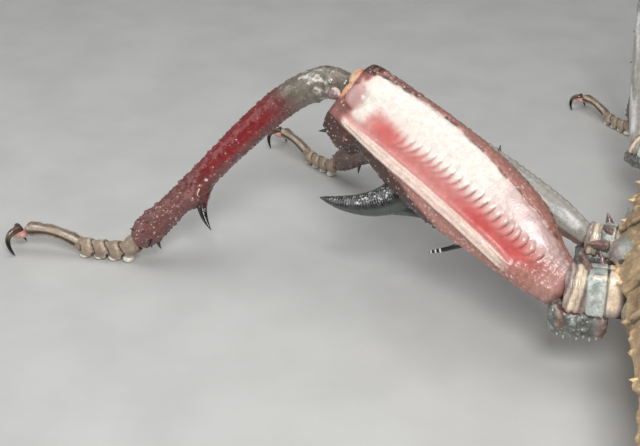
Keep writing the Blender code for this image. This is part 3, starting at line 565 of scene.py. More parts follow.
def hind_thigh(leg):
    """The great thigh: granular rims, rippled pale face, ridge, and lobes at the knee."""
    body, ends, face = great_form(leg)
    u, v, w = heights_in(body, leg)
    points = body.points
    place = body.around

    # The long ridge, grooved along, with a dip on either side.
    ridge_v = smooth_rows(RIDGE_LINE, u)
    ridge_on = step(u, 3.2, 6.0) * fall(u, 24.2, 25.8)
    ridge_half = 0.56 - 0.20 * step(u, 20, 25) - 0.06 * step(7.0 - u, 0, 3)
    off = (v - ridge_v) / ridge_half
    ridge = fall(np.abs(off), 0.62, 1.12) * ridge_on * face
    grooves = np.sin(off * 9.5 + 2.2 * lumps(points, 3.0, 3) + 0.8 * lumps(points, 0.9, 4)) * ridge
    above = bell(off, 1.75, 0.75) * ridge_on * face
    below = bell(off, -1.7, 0.5) * ridge_on * face

    # Ripples, and the raised fingers between them; the thin dark line along each ripple is painted
    # crease shadow.
    drop, phase, reach, tongue = ripples(points, u, v, face)
    fingers = tongue * step(drop, -1.0, -0.2) * fall(drop, 0.3, 1.2)

    # Granular skin: the upper rim, the band below the ridge, and all but the rear face.
    rim_v = smooth_rows(RIM_LINE, u) + 0.07 * lumps(points, 1.2, 7)
    rim = step(v - rim_v, -0.12, 0.12)
    rim_edge = bell(v - rim_v + 0.06 * lumps(points, 0.5, 8), -0.02, 0.11)
    band = step(ridge_v - 0.48 - v, 0, 0.22)
    band = np.where(u < 5.5, step(-1.35 - 0.14 * (5.5 - u) - v, 0, 0.4), band)
    outer = step(-w, -0.1, 0.5)
    rough_skin = np.clip(rim + band + outer, 0, 1)
    grains = granules(points, 0.42, 11) * rough_skin
    small = granules(points, 0.22, 17) * rough_skin

    # Below, a channel between two toothed keels; above, a serrated back.
    ridge_back = bell(place, 8.0, 0.35) + bell(place, 6.9, 0.25) * 0.6
    channel = bell(place, 6.0, 0.55)
    teeth = bell(place, 5.3, 0.20) + bell(place, 6.75, 0.16)
    teeth = teeth * beading(2 * math.pi * u / 0.9, points, 2.3, 21)
    serration = bell(place, 0.0, 0.16) + bell(place, 12.0, 0.16)
    serration = serration * beading(2 * math.pi * u / 0.7, points, 1.9, 23)

    # The knee end: a round boss with painted shade in the shallow groove round it, and folds
    # across.
    boss_far = np.hypot(u - BOSS[0], v - BOSS[1])
    boss = np.clip(1 - (boss_far / 1.2) ** 2, 0, 1) ** 0.7 * face
    boss_ring = bell(boss_far, 1.25, 0.16) * face
    fold_far = u + 0.10 * (v - 0.6) ** 2
    folds = np.sin(fold_far * 17.0 + 1.8 * lumps(points, 1.1, 31))
    folds = folds * bell(fold_far, 0.9, 0.75) * face
    knee_folds = np.sin((u + 0.3 * v) * 9.0) * bell(u, 25.9, 0.55) * step(v, 0.9, 1.4) * face

    # Crinkled skin at the root, and fibres along the ridge.
    root_skin = fall(u + 0.5 * v, 2.2, 4.6) * (1 - rim)
    crinkle = np.sin((u - 0.25 * v) * 8 + 2.5 * lumps(points, 1.2, 71)) + rough(points, 0.7, 3, 73)
    fibre = lumps(np.stack([u * 0.25, v, w], -1), 0.16, 51)

    height = 0.30 * ridge + 0.040 * grooves + 0.025 * fibre * ridge - 0.16 * above - 0.10 * below
    height += 0.14 * fingers
    height += 0.10 * grains + 0.045 * small + 0.07 * rim * face - 0.10 * rim_edge * face
    height += 0.22 * ridge_back - 0.32 * channel + 0.07 * teeth + 0.05 * serration
    height += root_skin * (0.035 * crinkle + 0.06 * granules(points, 0.3, 75))
    height += 0.55 * boss - 0.04 * boss_ring + 0.045 * folds + 0.05 * knee_folds
    height += 0.03 * rough(points, 1.2, 3, 41) + 0.05 * lumps(points, 3.5, 43)
    height *= ends[:, None] ** 0.5
    body.raise_by(height)

    # Colours: the dark red knee end; the pale patch, the shell's own pale colour with a painted
    # highlight over it, also on the tongues between the ripples; mauve above; red, and painted
    # shade below.
    end = step(u, 24.3, 25.3) * step(-v, 0.3, 1.1) + step(u, 25.1, 25.9) * step(v, 1.3, 2.3)
    end = np.maximum(end, 0.8 * step(u, 25.7, 26.3)) * face
    low = drop + 0.72 * tongue * fall(drop, 0.4, 1.2)
    pale = step(low, -0.42, 1.35) * face * (1 - rim) * (0.36 + 0.64 * step(u, 4.0, 14))
    knee_pale = step(u, 22.2, 23.8) * fall(u, 24.4, 25.4) * step(v, -1.9, -0.9)
    cloudy = 1 - 0.5 * step(rough(points, 1.6, 4, 81), 0.0, 0.5) * step(u, 19, 24)
    pale = (pale * cloudy + 0.8 * knee_pale * face + 0.25 * folds) * (1 - 0.9 * end) * (1 - boss)
    mauve = step(v, 0.3, 1.6) * fall(u, 5.5, 11.5) * face * (1 - rim)
    red = bell(v, -0.45, 1.35 + 0.25 * step(u, 8, 18)) * face * (1 - ridge)
    red = red * step(u, 0.8, 3.0) * fall(u, 21.8, 24.0)
    red = red * (1 + 0.35 * rough(points, 1.0, 4, 61))
    patches = 0.50 + 0.36 * bell(u, 8.4, 2.4) + 0.42 * bell(u, 4.6, 1.6) + 0.2 * bell(u, 20.5, 1.8)
    shade = step(smooth_rows(SHADE_LINE, u) - v, -0.1, 0.5) * band
    shade = shade * (1 - 0.55 * step(u, 22.5, 24.0))
    body.tint(
        pale=pale,
        blush=red * patches * (1 - 0.35 * fingers) + 0.75 * end * (1 - boss) + 0.5 * boss
        + 0.35 * root_skin * step(1.5 - v, 0.0, 2.0),
        grain=np.clip(rough_skin - 0.4 * ridge + 0.55 * end * (1 - boss) + 0.55 * root_skin
                      + 0.40 * bell(v, -1.35, 0.45) * face * (1 - ridge), 0, 1),
        # The ridge's cream is its own pale colour with a painted highlight over it; the cream dots
        # on the band's grains below it are painted glints.
        cream=ridge * (0.78 + 0.30 * grooves) + 0.55 * grains * band * step(20.0 - u, 0, 6),
        dark=0.6 * rim_edge * face * step(lumps(points, 0.7, 13), -0.6, 0.3) + 0.95 * shade
        + 0.25 * boss_ring + 0.6 * outer * step(u, 2, 5) + 0.55 * end * (1 - 0.85 * boss)
        + (0.25 + 0.3 * step(u, 15, 25)) * rim * step(-grains, -0.5, -0.1)
        + 0.5 * band * step(u, 13, 19) * step(-grains, -0.6, -0.2)
        + 0.3 * root_skin * step(-crinkle, 0, 0.5),
        phase=phase / PHASES, line=reach * (0.45 + 0.55 * step(drop, -0.6, 0.5)),
        tone=0.9 * boss + 0.4 * fall(u, 0.2, 4.0) * face + 0.75 * mauve)
    return body


LOW_THORN_LINE = ((9.4, -3.2), (10.1, -4.6), (10.8, -5.5), (11.6, -6.4))
LOW_THORN_RADII = ((0.0, 0.55), (0.25, 0.27), (0.6, 0.2), (0.9, 0.15), (1.0, 0.03))
HOOK_LINE = ((33.9, -16.4), (32.7, -18.4), (31.6, -19.3), (29.75, -19.6))
HOOK_RADII = ((0.0, 1.05), (0.25, 0.85), (0.45, 0.55), (0.75, 0.3), (1.0, 0.03))


def thigh_thorns(leg):
    """Single spines: under the great thigh, on the flap at its knee, and inside the shin."""
    low = rod(leg.course(LOW_THORN_LINE, -1.4), LOW_THORN_RADII, leg.rear, 0.05)
    beads = bell((low.along * 8) % 1.0, 0.5, 0.2) * step(low.along, 0.58, 0.64)
    beads = beads * fall(low.along, 0.97, 1)
    low.raise_by(0.06 * beads).tint(pale=beads, dark=0.7 * (1 - beads))
    flap = thorn(leg.at(25.3, -3.4, 1.1), leg.at(26.7, -4.75, 1.2), 0.46, pitch=0.08, dark=0.9)
    hook = rod(leg.course(HOOK_LINE, -0.25), HOOK_RADII, leg.rear, 0.08)
    grit = granules(hook.points, 0.24, 3)
    # The pale glitter dots along the hook are painted glints.
    glitter = step(grit, 0.6, 0.85) * step(hook.along, 0.1, 0.3)
    hook.raise_by(0.05 * grit * (1 - hook.along))
    hook.tint(blush=fall(hook.along, 0.35, 0.6), dark=step(hook.along, 0.45, 0.7),
              pale=glitter * fall(hook.along, 0.75, 0.9))
    return [low, flap, hook]


def leg_spines(leg, part, rows, dark):
    """Spines on the femur or the tibia from (share, angle, length, lean) rows."""
    made = []
    for share, angle, length, lean in rows:
        centre, ahead, radius = leg.spot(part, share)
        up = unit(np.cross(leg.rear, ahead))
        up = -up if np.dot(up, leg.up) < 0 else up
        turn = math.radians(angle)
        out = leg.rear * math.cos(turn) + up * math.sin(turn)
        root = centre + out * radius * 0.9
        tip = centre + out * (radius + length) + ahead * lean * length
        made.append(thorn(root, tip, leg.size * 0.32 * (0.6 + 0.4 * length),
                          ahead * 0.1 * length, 0.09, dark))
    return made


SPUR_LINE = ((16.9, -3.0), (17.3, -6.1), (19.8, -8.2), (23.1, -9.65))
SPUR_RADII = ((0.0, 2.0), (0.2, 1.6), (0.38, 1.32), (0.58, 1.02), (0.8, 0.62), (0.93, 0.3),
              (1.0, 0.05))
SPUR_RINGS = 36
WEB_LINE = ((12.6, -3.5), (14.6, -4.1), (16.4, -5.0), (17.9, -6.2))
WEB_RADII = ((0, 0.25), (0.4, 0.55), (0.8, 0.8), (1, 0.6))


def thigh_spur(leg):
    """The great curved spur under the hind thigh, finely ringed, and the web at its foot."""
    spur = rod(leg.course(SPUR_LINE, -0.6), SPUR_RADII, leg.rear, 0.07, flat=0.72)
    along = spur.along
    phase = along * SPUR_RINGS + 1.1 + 0.35 * lumps(spur.points, 0.8, 3)
    phase = phase + 0.25 * np.sin(spur.angle * 2)
    side = step(along, 0.08, 0.25) * fall(along, 0.82, 0.97)
    spur.raise_by(0.05 * rough(spur.points, 0.9, 3, 5))
    # Painted light: the pale glitter dots and pale ring lines on the upper side are painted
    # highlight, and the grey-green tone on the lower side is a painted reflection.
    high = np.cos(spur.angle)
    blotches = step(rough(spur.points, 0.6, 3, 9), -0.4, 0.3)
    glitter = step(granules(spur.points, 0.24, 9, 0.7), 0.30, 0.6) * bell(high, -0.35, 0.5) * side
    spur.tint(tone=step(high, 0.35, 0.75), pale=glitter * (0.3 + 0.7 * blotches),
              phase=phase / PHASES, line=side * (0.4 + 0.6 * blotches) * step(-high, -0.45, 0.1))
    web = rod(leg.course(WEB_LINE, -0.7), WEB_RADII, leg.rear, 0.1, flat=0.6)
    return [[spur], [web.tint(tone=1.0)]]


KEELS = (0.55, 2.45, -0.6, -2.4)
SHIN_START = 1.3


def shin(leg, pitch):
    """A bowed shin: lipped at the knee, keeled and granular, swollen at its far end."""
    big = leg.kind == "hind"
    length = length_of(bezier(leg.shin, np.linspace(0, 1, 40)))
    first = -SHIN_START / length
    last = 1.0 + 0.15 * leg.size / length
    t = np.linspace(first, last, int((last - first) * length / pitch))
    centre, ahead = leg.shin_line(t)
    across = square_to(leg.rear, ahead)
    up = unit(np.cross(ahead, across))
    run = t * length
    radius = smooth_rows(leg.plan["tibia"], t)
    radius = radius * (1 - (0.20 if big else 0.08) * fall(run, 0.2, 3.0))
    body = sweep(centre, across, up, oval_controls(0.92 * radius, radius), pitch)
    high = np.cos(body.angle)
    facing = np.sin(body.angle)
    run = run[:, None] * np.ones_like(high)
    t2 = body.along * (last - first) + first
    points = body.points

    # Relief: beaded keels, grains, a lip and humps near the knee, a boss under the hook.
    keels = keels_at(body.angle, KEELS, 0.18)
    keels = keels * step(t2, 0.10, 0.30) * fall(t2, 0.93, 0.99)
    knobbed = keels * (0.45 + 0.55 * beading(run * 7.5, points, 1.5, 3))
    grains = granules(points, 0.34 * leg.size, 5) * step(t2, 0.20, 0.45)
    fine = granules(points, 0.19 * leg.size, 9, 0.45)
    ends = np.minimum(np.clip(run + SHIN_START, 0, 1), np.clip((last - t2) * length / 0.8, 0, 1))
    under = step(-high, -0.1, 0.8)
    lip = bell(run, 1.9 - 0.5 * high, 0.28) - 0.7 * bell(run, 2.45 - 0.5 * high, 0.3)
    humps = bell(run, 3.6, 0.8) * bell(high, 0.6, 0.4) + bell(run, 5.3, 0.7) * under
    height = 0.11 * knobbed + (0.12 + 0.07 * step(t2, 0.6, 0.9)) * grains + 0.05 * fine + 0.05 * lip
    height += 0.14 * humps
    height += 0.09 * rough(points, 2.2, 4, 21) - 0.16 * bell(t2, 0.985, 0.012)
    if big:
        height += 0.75 * bell(t2, 0.79, 0.035) * step(-high, 0.2, 0.95)
        height -= 0.10 * bell(t2, 0.88, 0.05)
    body.raise_by(height * leg.size * np.sqrt(ends)).narrow(dome(ends, 2.4)[..., None])

    # Colours: grey near the knee with pale scuffs that are partly wear and partly painted
    # highlight, a crimson glow on the rear, a dark far end, and pale grain tips painted as glints.
    knee_part = fall(t2 + 0.05 * lumps(points, 2.0, 31), 0.22, 0.40)
    patchy = rough(points, 1.9, 4, 33)
    fibres = rough(np.stack([run * 0.3, 1.6 * facing, 1.6 * high], -1), 0.36, 3, 35)
    blotches = 0.8 * patchy + 0.9 * fibres
    scuff_and_sheen = step(blotches, 0.0, 0.7) * knee_part * step(run, 0.6, 2.6) * step(facing, -0.3, 0.5)
    glow = step(facing + 0.25 * patchy, 0.15, 0.95) * step(t2, 0.30, 0.52)
    glow = glow * fall(t2, 0.62, 0.84)
    tips = step(fine * (grains + 0.25), 0.25, 0.6)
    return body.tint(
        pale=0.85 * scuff_and_sheen + 0.25 * np.maximum(lip, 0) + 0.55 * tips,
        blush=glow * (1 - 0.15 * grains) if big else 0.25 * t2 * (facing > 0),
        grain=(knobbed + 0.6 * grains) * (1 - 0.7 * glow * big) + step(t2, 0.76, 0.9),
        cream=0.35 * bell(run, 0.9, 0.7) + 0.35 * grains * step(t2, 0.86, 0.97),
        dark=0.40 * bell(run, 2.6, 0.3) + 0.35 * step(-facing, 0.2, 0.9)
        + 0.45 * step(-blotches, 0.05, 0.45) * knee_part
        + 0.6 * bell(t2, 0.79, 0.03) * step(-high, 0.8, 1.0),
        tone=knee_part)


END_SPINULES = 14
KEEL_SPINULES = 16


def spinule(leg, share, turn, depth, out_by, ahead_by, radius, **looks):
    """A small spine on the shin, rooted at a share of its length and an angle round it."""
    centre, ahead, girth = leg.spot("tibia", share)
    across = square_to(leg.rear, ahead)
    out = across * math.sin(turn) + np.cross(ahead, across) * math.cos(turn)
    root = centre + out * girth * depth
    tip = root + (out * out_by + ahead * ahead_by) * leg.size
    return thorn(root, tip, radius * leg.size, pitch=0.07, **looks)


def shin_spinules(leg):
    """Small spines on the swollen end of a shin and along its keels."""
    made = []
    for i in range(END_SPINULES):
        turn = 2 * math.pi * (i + 0.3 * (i % 2)) / END_SPINULES
        made.append(spinule(leg, 0.93 + 0.05 * (i % 3) / 2, turn, 0.9, 0.30, 0.20, 0.13, dark=1.0))
    for i in range(KEEL_SPINULES):
        share = 0.28 + 0.6 * i / (KEEL_SPINULES - 1)
        made.append(spinule(leg, share, KEELS[i % 4], 0.95, 0.26, 0.16, 0.12, pale=0.5))
    return made


def foot_height(leg, share):
    """Heights of the foot's middle line."""
    low = 1.1 * leg.size
    rows = ((0.0, leg.ankle[2]), (0.09, low + 0.25), (0.2, low), (SHORT_JOINTS_SHARE - 0.05, low),
            (0.60, low + 0.75 * leg.size), (0.78, low + 1.35 * leg.size),
            (1.0, leg.toe[2] + 0.25 * leg.size))
    return smooth_rows(rows, share)


LONG_JOINT_RADII = ((0.52, 0.56), (0.56, 0.62), (0.68, 0.56), (0.82, 0.56), (0.94, 0.72),
                    (1.0, 0.62))


def tarsus(leg, pitch):
    """Four short padded joints and a long arched one, with deep creases between."""
    share = np.linspace(-0.03, 1.0, int(1.03 * leg.foot_reach / pitch))
    centre = leg.ankle + np.outer(share, leg.toe - leg.ankle)
    centre[:, 2] = foot_height(leg, share)
    up = unit(np.cross(leg.foot_side, unit(np.gradient(centre, axis=0))))
    up = np.where(up[:, 2:] < 0, -up, up)
    joint = np.clip(share, 0, SHORT_JOINTS_SHARE - 1e-6) / STRIDE
    swell = 0.78 + 0.12 * np.sin((joint % 1.0) ** 0.75 * math.pi)
    width = np.where(share < SHORT_JOINTS_SHARE, swell, smooth_rows(LONG_JOINT_RADII, share))
    width = width * leg.size * dome(np.clip((1.0 - share) * leg.foot_reach / 0.5, 0, 1))
    body = sweep(centre, leg.foot_side, up, oval_controls(width, width * 1.05), pitch)

    # Zigzag creases and notches between the joints, and ribs along the long one.
    share = share[:, None]
    joint = joint[:, None]
    high = np.cos(body.angle)
    facing = np.abs(np.sin(body.angle))
    point = 0.42 * np.abs(2 * ((body.angle / math.pi) % 1.0) - 1) - 0.18
    zig = (joint - point + 0.05 * lumps(body.points, 0.4, 13)) % 1.0
    short = share < SHORT_JOINTS_SHARE
    creased = short & (joint > 0.5)
    crease = np.where(creased, bell(zig, 0.0, 0.07) + bell(zig, 1.0, 0.07), 0)
    notch = np.where(short, bell(joint % 1.0, 0.0, 0.16) + bell(joint % 1.0, 1.0, 0.16), 0)
    under = step(-high, 0.35, 0.8)
    ribs = bell(facing, 0.72, 0.16) * (~creased) * (high > -0.3)
    top = step(high, 0.2, 0.9)
    body.raise_by(leg.size * (
        -0.10 * crease - 0.26 * notch * step(-high, -0.6, 0.7) + 0.12 * ribs
        + 0.07 * rough(body.points, 0.7, 3, 3) + 0.05 * granules(body.points, 0.24, 5) * top))
    body.points[..., 2] = np.maximum(body.points[..., 2], 0.0)
    beads = granules(body.points, 0.30 * leg.size, 15, 0.4) * bell(facing, 0.85, 0.12)
    long = share > SHORT_JOINTS_SHARE + 0.03
    scuffs = 0.7 * bell(high, 0.8, 0.1) * long * step(lumps(body.points, 1.1, 19), -0.5, 0.2)
    # On the long joint, the cream band high on each side is a painted highlight, and the pale beads
    # along its sides are painted glints.
    return body.tint(
        dark=0.95 * crease + 0.2 * ribs + 0.9 * bell(high, 0.05, 0.33) * long
        + 0.4 * notch * under + 0.5 * step(high, 0.86, 0.97) * long,
        pale=0.5 * under * creased + 0.9 * beads * long + scuffs,
        cream=0.7 * long * (bell(high, 0.55, 0.2) + under) + 0.55 * bell(zig, 0.25, 0.16) * creased,
        grain=0.4 * top, tone=lumps(body.points, 1.3, 9) * 0.5 + 0.3)


def pads(leg):
    """Pale oval pads under the short joints and the soft cushion between the claws."""
    axes = (leg.foot, leg.foot_side, UP)
    made = []
    for i in range(TARSOMERES):
        middle = leg.ankle + (leg.toe - leg.ankle) * (STRIDE * (i + 0.68))
        middle[2] = 0.40 * leg.size
        radii = (0.40 * STRIDE * leg.foot_reach, 0.74 * leg.size, 0.40 * leg.size)
        pad = blob(middle, axes, radii, 0.13)
        pad.points[..., 2] = np.maximum(pad.points[..., 2], 0.02)
        made.append(pad.tint(pale=1.0))
    middle = leg.toe + leg.foot * 0.75 * leg.size - UP * 0.35 * leg.size
    cushion = blob(middle, axes, np.array([0.95, 0.72, 0.42]) * leg.size, 0.12)
    made.append(cushion.tint(pale=0.5, blush=0.8))
    return made


CLAW_RADII = ((0.0, 0.44), (0.35, 0.36), (0.7, 0.26), (0.92, 0.14), (1.0, 0.04))
CLAW_ROWS = 44
CLAW_TIP_HEIGHT = 0.12


def claws(leg):
    """A pair of hooks drawn as one rod from tip to tip through their common foot."""
    foot = leg.toe + leg.foot * (GAP + 0.42 * leg.size)
    hooks = []
    for hand in (-1, 1):
        tip = foot + leg.foot * (0.15 * leg.size) + leg.foot_side * (hand * 1.45 * leg.size)
        tip[2] = CLAW_TIP_HEIGHT
        arch = (foot + leg.foot * 0.75 * leg.size + leg.foot_side * (hand * 0.7 * leg.size)
                + UP * 0.30 * leg.size)
        hook = (foot + leg.foot * 1.35 * leg.size + leg.foot_side * (hand * 1.5 * leg.size)
                - UP * 0.5 * leg.size)
        hooks.append((foot, arch, hook, tip))
    t = np.concatenate([np.linspace(1, 0.02, CLAW_ROWS), [0.0], np.linspace(0.02, 1, CLAW_ROWS)])
    on_left = np.arange(len(t))[:, None] < CLAW_ROWS
    centre = np.where(on_left, bezier(hooks[0], t), bezier(hooks[1], t))
    ahead = unit(np.gradient(centre, axis=0))
    aside = np.cross(ahead, leg.foot)
    aside[np.linalg.norm(aside, axis=1) < 0.12] = UP
    aside = square_to(aside, ahead)
    for i in range(1, len(aside)):
        if np.dot(aside[i], aside[i - 1]) < 0:
            aside[i] *= -1
    radius = smooth_rows(CLAW_RADII, t) * leg.size
    outline = oval_controls(radius, radius * 0.85)
    body = sweep(centre, aside, unit(np.cross(ahead, aside)), outline, 0.07)
    body.raise_by(0.02 * lumps(body.points, 0.3, 3) * (1 - t)[:, None])
    return body.tint(dark=step(t, 0.35, 0.8)[:, None], tone=bell(t, 0.5, 0.25)[:, None])


SLIM_START = -0.03
SLIM_KEELS = (0.0, 2.3, -2.3)


def slim_thigh(leg, pitch):
    """A slender thigh: smooth and glossy above with a painted highlight streak, darker below, with
    finely toothed keels.
    """
    share, centre = thigh_line(leg, SLIM_START, 1.0, pitch)
    outline = thigh_controls(SLIM_OUTLINE, *leg.sizes(share))
    body = sweep(centre, leg.rear, leg.up, outline, pitch)
    ends = np.minimum(np.clip((share - SLIM_START) * leg.length / 0.6, 0, 1),
                      np.clip((1.0 - share) * leg.length, 0, 1))
    angle = body.angle
    run = body.along * leg.length
    keels = keels_at(angle, SLIM_KEELS, 0.13)
    knobbed = keels * beading(run * 7.0, body.points, 1.6, 3)
    below = step(-np.cos(angle), 0.0, 0.5)
    grains = granules(body.points, 0.32, 7) * np.clip(below + keels, 0, 1)
    knee_end = bell(run, leg.length * 0.97, 0.9)
    height = 0.06 * keels + 0.11 * knobbed + 0.045 * grains + 0.05 * rough(body.points, 2.0, 3, 9)
    height += 0.12 * knee_end * np.abs(np.sin(angle))
    body.raise_by(height * np.sqrt(ends)[:, None]).narrow(dome(ends)[:, None, None])
    # The pale streak along the upper side, broken up by noise, is a painted highlight.
    streak = rough(body.points @ np.stack([leg.ahead * 0.25, leg.up, leg.rear], -1), 0.8, 3, 12)
    bright = bell(np.cos(angle + 0.1 * streak), 0.55, 0.42) * step(streak, -0.45, 0.3)
    return body.tint(
        pale=0.95 * bright * step(run, 0.5, 2.0) * fall(run, leg.length - 3, leg.length - 1),
        tone=1 - below, blush=0.65 * below + 0.3 * knee_end, cream=0.45 * knobbed,
        grain=0.6 * keels + 0.4 * grains, dark=0.55 * below * step(streak, -0.5, 0.5))


# Thorns of the hips: root, tip and radius.
HIP_THORNS = {
    "fore": (((-5.9, 16.2, 8.2), (-6.8, 15.8, 9.1), 0.4),),
    "mid": (((-8.9, -6.9, 9.2), (-10.4, -7.8, 9.7), 0.6),
            ((-8.2, -6.2, 10.0), (-9.2, -6.6, 11.0), 0.55),
            ((-8.6, -4.2, 9.8), (-9.0, -3.8, 10.9), 0.45)),
    "hind": (((-9.3, -14.3, 10.4), (-10.6, -14.1, 12.5), 0.42),
             ((-8.6, -12.4, 10.3), (-9.1, -12.0, 11.6), 0.4)),
}
# Knobs of the flank above the hips: middle and radii.
HIP_KNOBS = {
    "fore": (),
    "mid": (((-6.5, -4.2, 11.1), (1.4, 0.9, 0.7)),),
    "hind": (((-6.9, -12.0, 11.75), (2.0, 1.45, 1.1)),),
}
COXA_SHARE = 0.54
HIP_LEAN = 0.35
BOX_CONTROLS = 16


def box_body(middle, ahead, rear, half, pitch, lean=0.0, soft=0.55, power=3.5):
    """A closed body with flattish leaning sides and soft edges, and how far along a point is."""
    t = np.linspace(-half[0], half[0], int(2 * half[0] / pitch))
    end = np.clip((half[0] - np.abs(t)) / soft, 0.02, 1)
    inset = soft * (1 - dome(end))
    turn = 2 * math.pi * np.arange(BOX_CONTROLS) / BOX_CONTROLS
    reach = (np.abs(np.sin(turn)) ** power + np.abs(np.cos(turn)) ** power) ** (-1 / power)
    outline = np.stack([(half[1] - inset)[:, None] * np.sin(turn) * reach,
                        (half[2] - inset)[:, None] * np.cos(turn) * reach], -1)
    body = sweep(middle + np.outer(t, ahead), rear, UP - lean * rear, outline, pitch)
    return body, (body.points - middle) @ ahead


def hip_knobs(leg, pitch):
    """Granular knobs of the flank, each with a raised rim."""
    made = []
    for middle, radii in HIP_KNOBS[leg.kind]:
        knob = blob(middle, (AHEAD, RIGHT, UP), radii, pitch)
        edge = bell(knob.along, 0.0, 0.22) + bell(knob.along, 1.0, 0.16)
        dots = granules(knob.points, 0.5, 9, 0.4)
        knob.raise_by(0.10 * dots + 0.16 * rough(knob.points, 1.1, 3, 7)
                      - 0.2 * bell(edge, 0.55, 0.12))
        blotches = step(rough(knob.points, 1.3, 4, 5), -0.3, 0.4)
        made.append([knob.tint(dark=0.75 * step(edge, 0.4, 0.8), cream=dots * (0.3 + 0.6 * edge),
                               tone=0.15 + 0.4 * blotches)])
    return made


def hip_thorns(leg):
    """The single thorns that stand on a hip."""
    made = []
    for root, tip, radius in HIP_THORNS[leg.kind]:
        spine = thorn(root, tip, radius, pitch=0.09)
        dots = granules(spine.points, 0.26, 3)
        spine.raise_by(0.05 * dots)
        made.append(spine.tint(tone=1.0, pale=step(dots, 0.5, 0.85) + step(spine.along, 0.8, 1.0),
                               cream=0.5 * bell(spine.around, 6.0, 2.0),
                               dark=0.4 * step(0.3 - dots, 0.0, 0.3)))
    return made


def hip(leg, pitch):
    """Coxa, trochanter and the granular lobe below them, with their knobs, teeth and thorns."""
    width, height = leg.plan["coxa_size"]
    arm = (leg.base - leg.root) * (1, 1, 0)
    reach = np.linalg.norm(arm)
    ahead = arm / reach
    size = leg.size
    rear = unit(np.array([ahead[1], -ahead[0], 0.0]))
    rear = -rear if rear[1] > 0 else rear
    middle = leg.root + rear * 0.44 * width

    # The coxa: a smooth block with a border at the flank and light trims.
    joint = COXA_SHARE * reach
    coxa, q = box_body(middle + UP * 0.38 * height + ahead * (joint - 1.5) / 2, ahead, rear,
                       ((joint + 1.5) / 2 + 0.1, width * 0.54, height * 0.57), pitch, HIP_LEAN)
    q = q + (joint - 1.5) / 2
    place = coxa.around
    flank = fall(q, 0.04 * reach, 0.10 * reach)
    border = bell(q, 0.08 * reach, 0.09)
    trim = bell(place, 1.8, 0.25) + bell(place, 14.2, 0.25) + bell(q, 0.14 * reach, 0.08)
    grains = granules(coxa.points, 0.4 * size, 7)
    coxa.raise_by(size * (-0.14 * border + 0.06 * trim + 0.08 * grains * step(q, joint - 0.4, joint)
                          + 0.07 * rough(coxa.points, 1.6, 3, 5)))
    lower = step(leg.root[2] + 0.25 * height - coxa.points[..., 2], 0, 1.6) + step(-q, 0.5, 1.2)
    coxa.tint(pale=(1 - flank) * step(rough(coxa.points, 1.5, 3, 15), -0.6, 0.2),
              cream=0.6 * trim * (1 - flank) + 0.85 * flank * (1 - lower),
              tone=0.9 * flank * lower, dark=0.8 * border + 0.7 * step(q, joint - 0.22, joint)
              + 0.9 * flank * step(lower, 0.5, 1.3) + 0.55 * bell(place, 0.0, 1.2))

    # The trochanter: a folded wedge, light across its middle.
    wedge, q = box_body(middle + UP * 0.36 * height + arm * 0.77, ahead, rear,
                        (0.25 * reach, width * 0.56, height * 0.53), pitch, HIP_LEAN, 0.4, 3.0)
    points = wedge.points
    q = q + 0.22 * (points[..., 2] - leg.root[2] - 0.36 * height)
    folds = np.sin(q * 11 + 1.8 * lumps(points, 1.3, 3) + 0.9 * lumps(points, 0.5, 5))
    foot = step(leg.root[2] + 0.05 * height - points[..., 2], -0.1, 0.7)
    wedge.raise_by(size * (0.06 * folds + 0.13 * rough(points, 1.1, 3, 9)))
    light = bell(q, 0.02 * reach, 0.11 * reach)
    wedge.tint(cream=(0.25 + 0.75 * light + 0.2 * folds) * (1 - foot), blush=0.95 * foot,
               tone=(1 - light) * (0.65 - 0.3 * folds) * (1 - foot),
               pale=0.35 * foot * (folds > 0.4), dark=0.45 * step(-folds, 0.4, 1.0),
               grain=0.6 * (1 - light))

    # The granular lobe below, red beside the thigh, and a row of teeth under it.
    lobe, q = box_body(leg.root + arm * 0.66 - UP * 0.56 * height + rear * 0.3 * width, ahead,
                       rear, (0.68 * reach, width * 0.72, height * 0.46), pitch, 0.0, 0.7, 3.0)
    points = lobe.points
    knobs = granules(points, 0.55 * size, 3)
    lobe.raise_by(size * (0.17 * knobs + 0.30 * rough(points, 1.5, 3, 5)))
    red = bell(q, 0.40 * reach, 0.15 * reach) * step(lumps(points, 1.0, 15) + 0.3, -0.3, 0.4)
    red = red * step(points[..., 2], leg.root[2] - 0.8 * height, leg.root[2] - 0.5 * height)
    rose = step(-q, 0.30 * reach, 0.5 * reach)
    lobe.tint(dark=0.62 - 0.45 * knobs - 0.3 * rose, pale=0.18 * knobs * (1 - red), grain=1.0,
              blush=0.5 * red * (1 - 0.5 * knobs), tone=0.7 * rose + 0.4 * red)
    teeth = []
    for i in range(7 if leg.kind == "hind" else 4):
        root = (leg.root + arm * (0.18 + 0.15 * i) - UP * (0.86 + 0.08 * (i % 2)) * height
                + rear * width * 0.85)
        tip = root + (rear * 0.26 - UP * 0.20) * size
        teeth.append(thorn(root, tip, 0.14 * size, pitch=0.07, pale=0.9))
    return [[coxa], [wedge], [lobe], *hip_knobs(leg, pitch), teeth, hip_thorns(leg)]


# ---------------------------------------------------------------- trunk, head and feelers

def trunk_controls(y):
    """Outlines of the trunk: keeled back, sharp side margins, flanks and belly."""
    margin, flank, side, back, belly = (smooth_rows(TRUNK, y, k) for k in (1, 2, 3, 4, 5))
    rise = back - side
    drop = side - belly
    zero = np.zeros_like(y)
    right = [(0.45 * margin, 0.86 * rise), (0.82 * margin, 0.50 * rise), (margin, 0.10 * rise),
             (0.98 * margin, -0.08 * drop), (0.93 * flank, -0.24 * drop), (flank, -0.52 * drop),
             (0.62 * flank, -0.93 * drop)]
    left = [(-x, z) for x, z in reversed(right)]
    rows = [(zero, rise)] + right + [(zero, -drop)] + left
    return np.stack([np.stack(r, -1) for r in rows], 1), side


# Where the flanks swell above the hips: place along the body and reach.
HIPS = ((17.0, 2.2), (-5.3, 2.5), (-13.6, 3.0))
FAR = 99.0


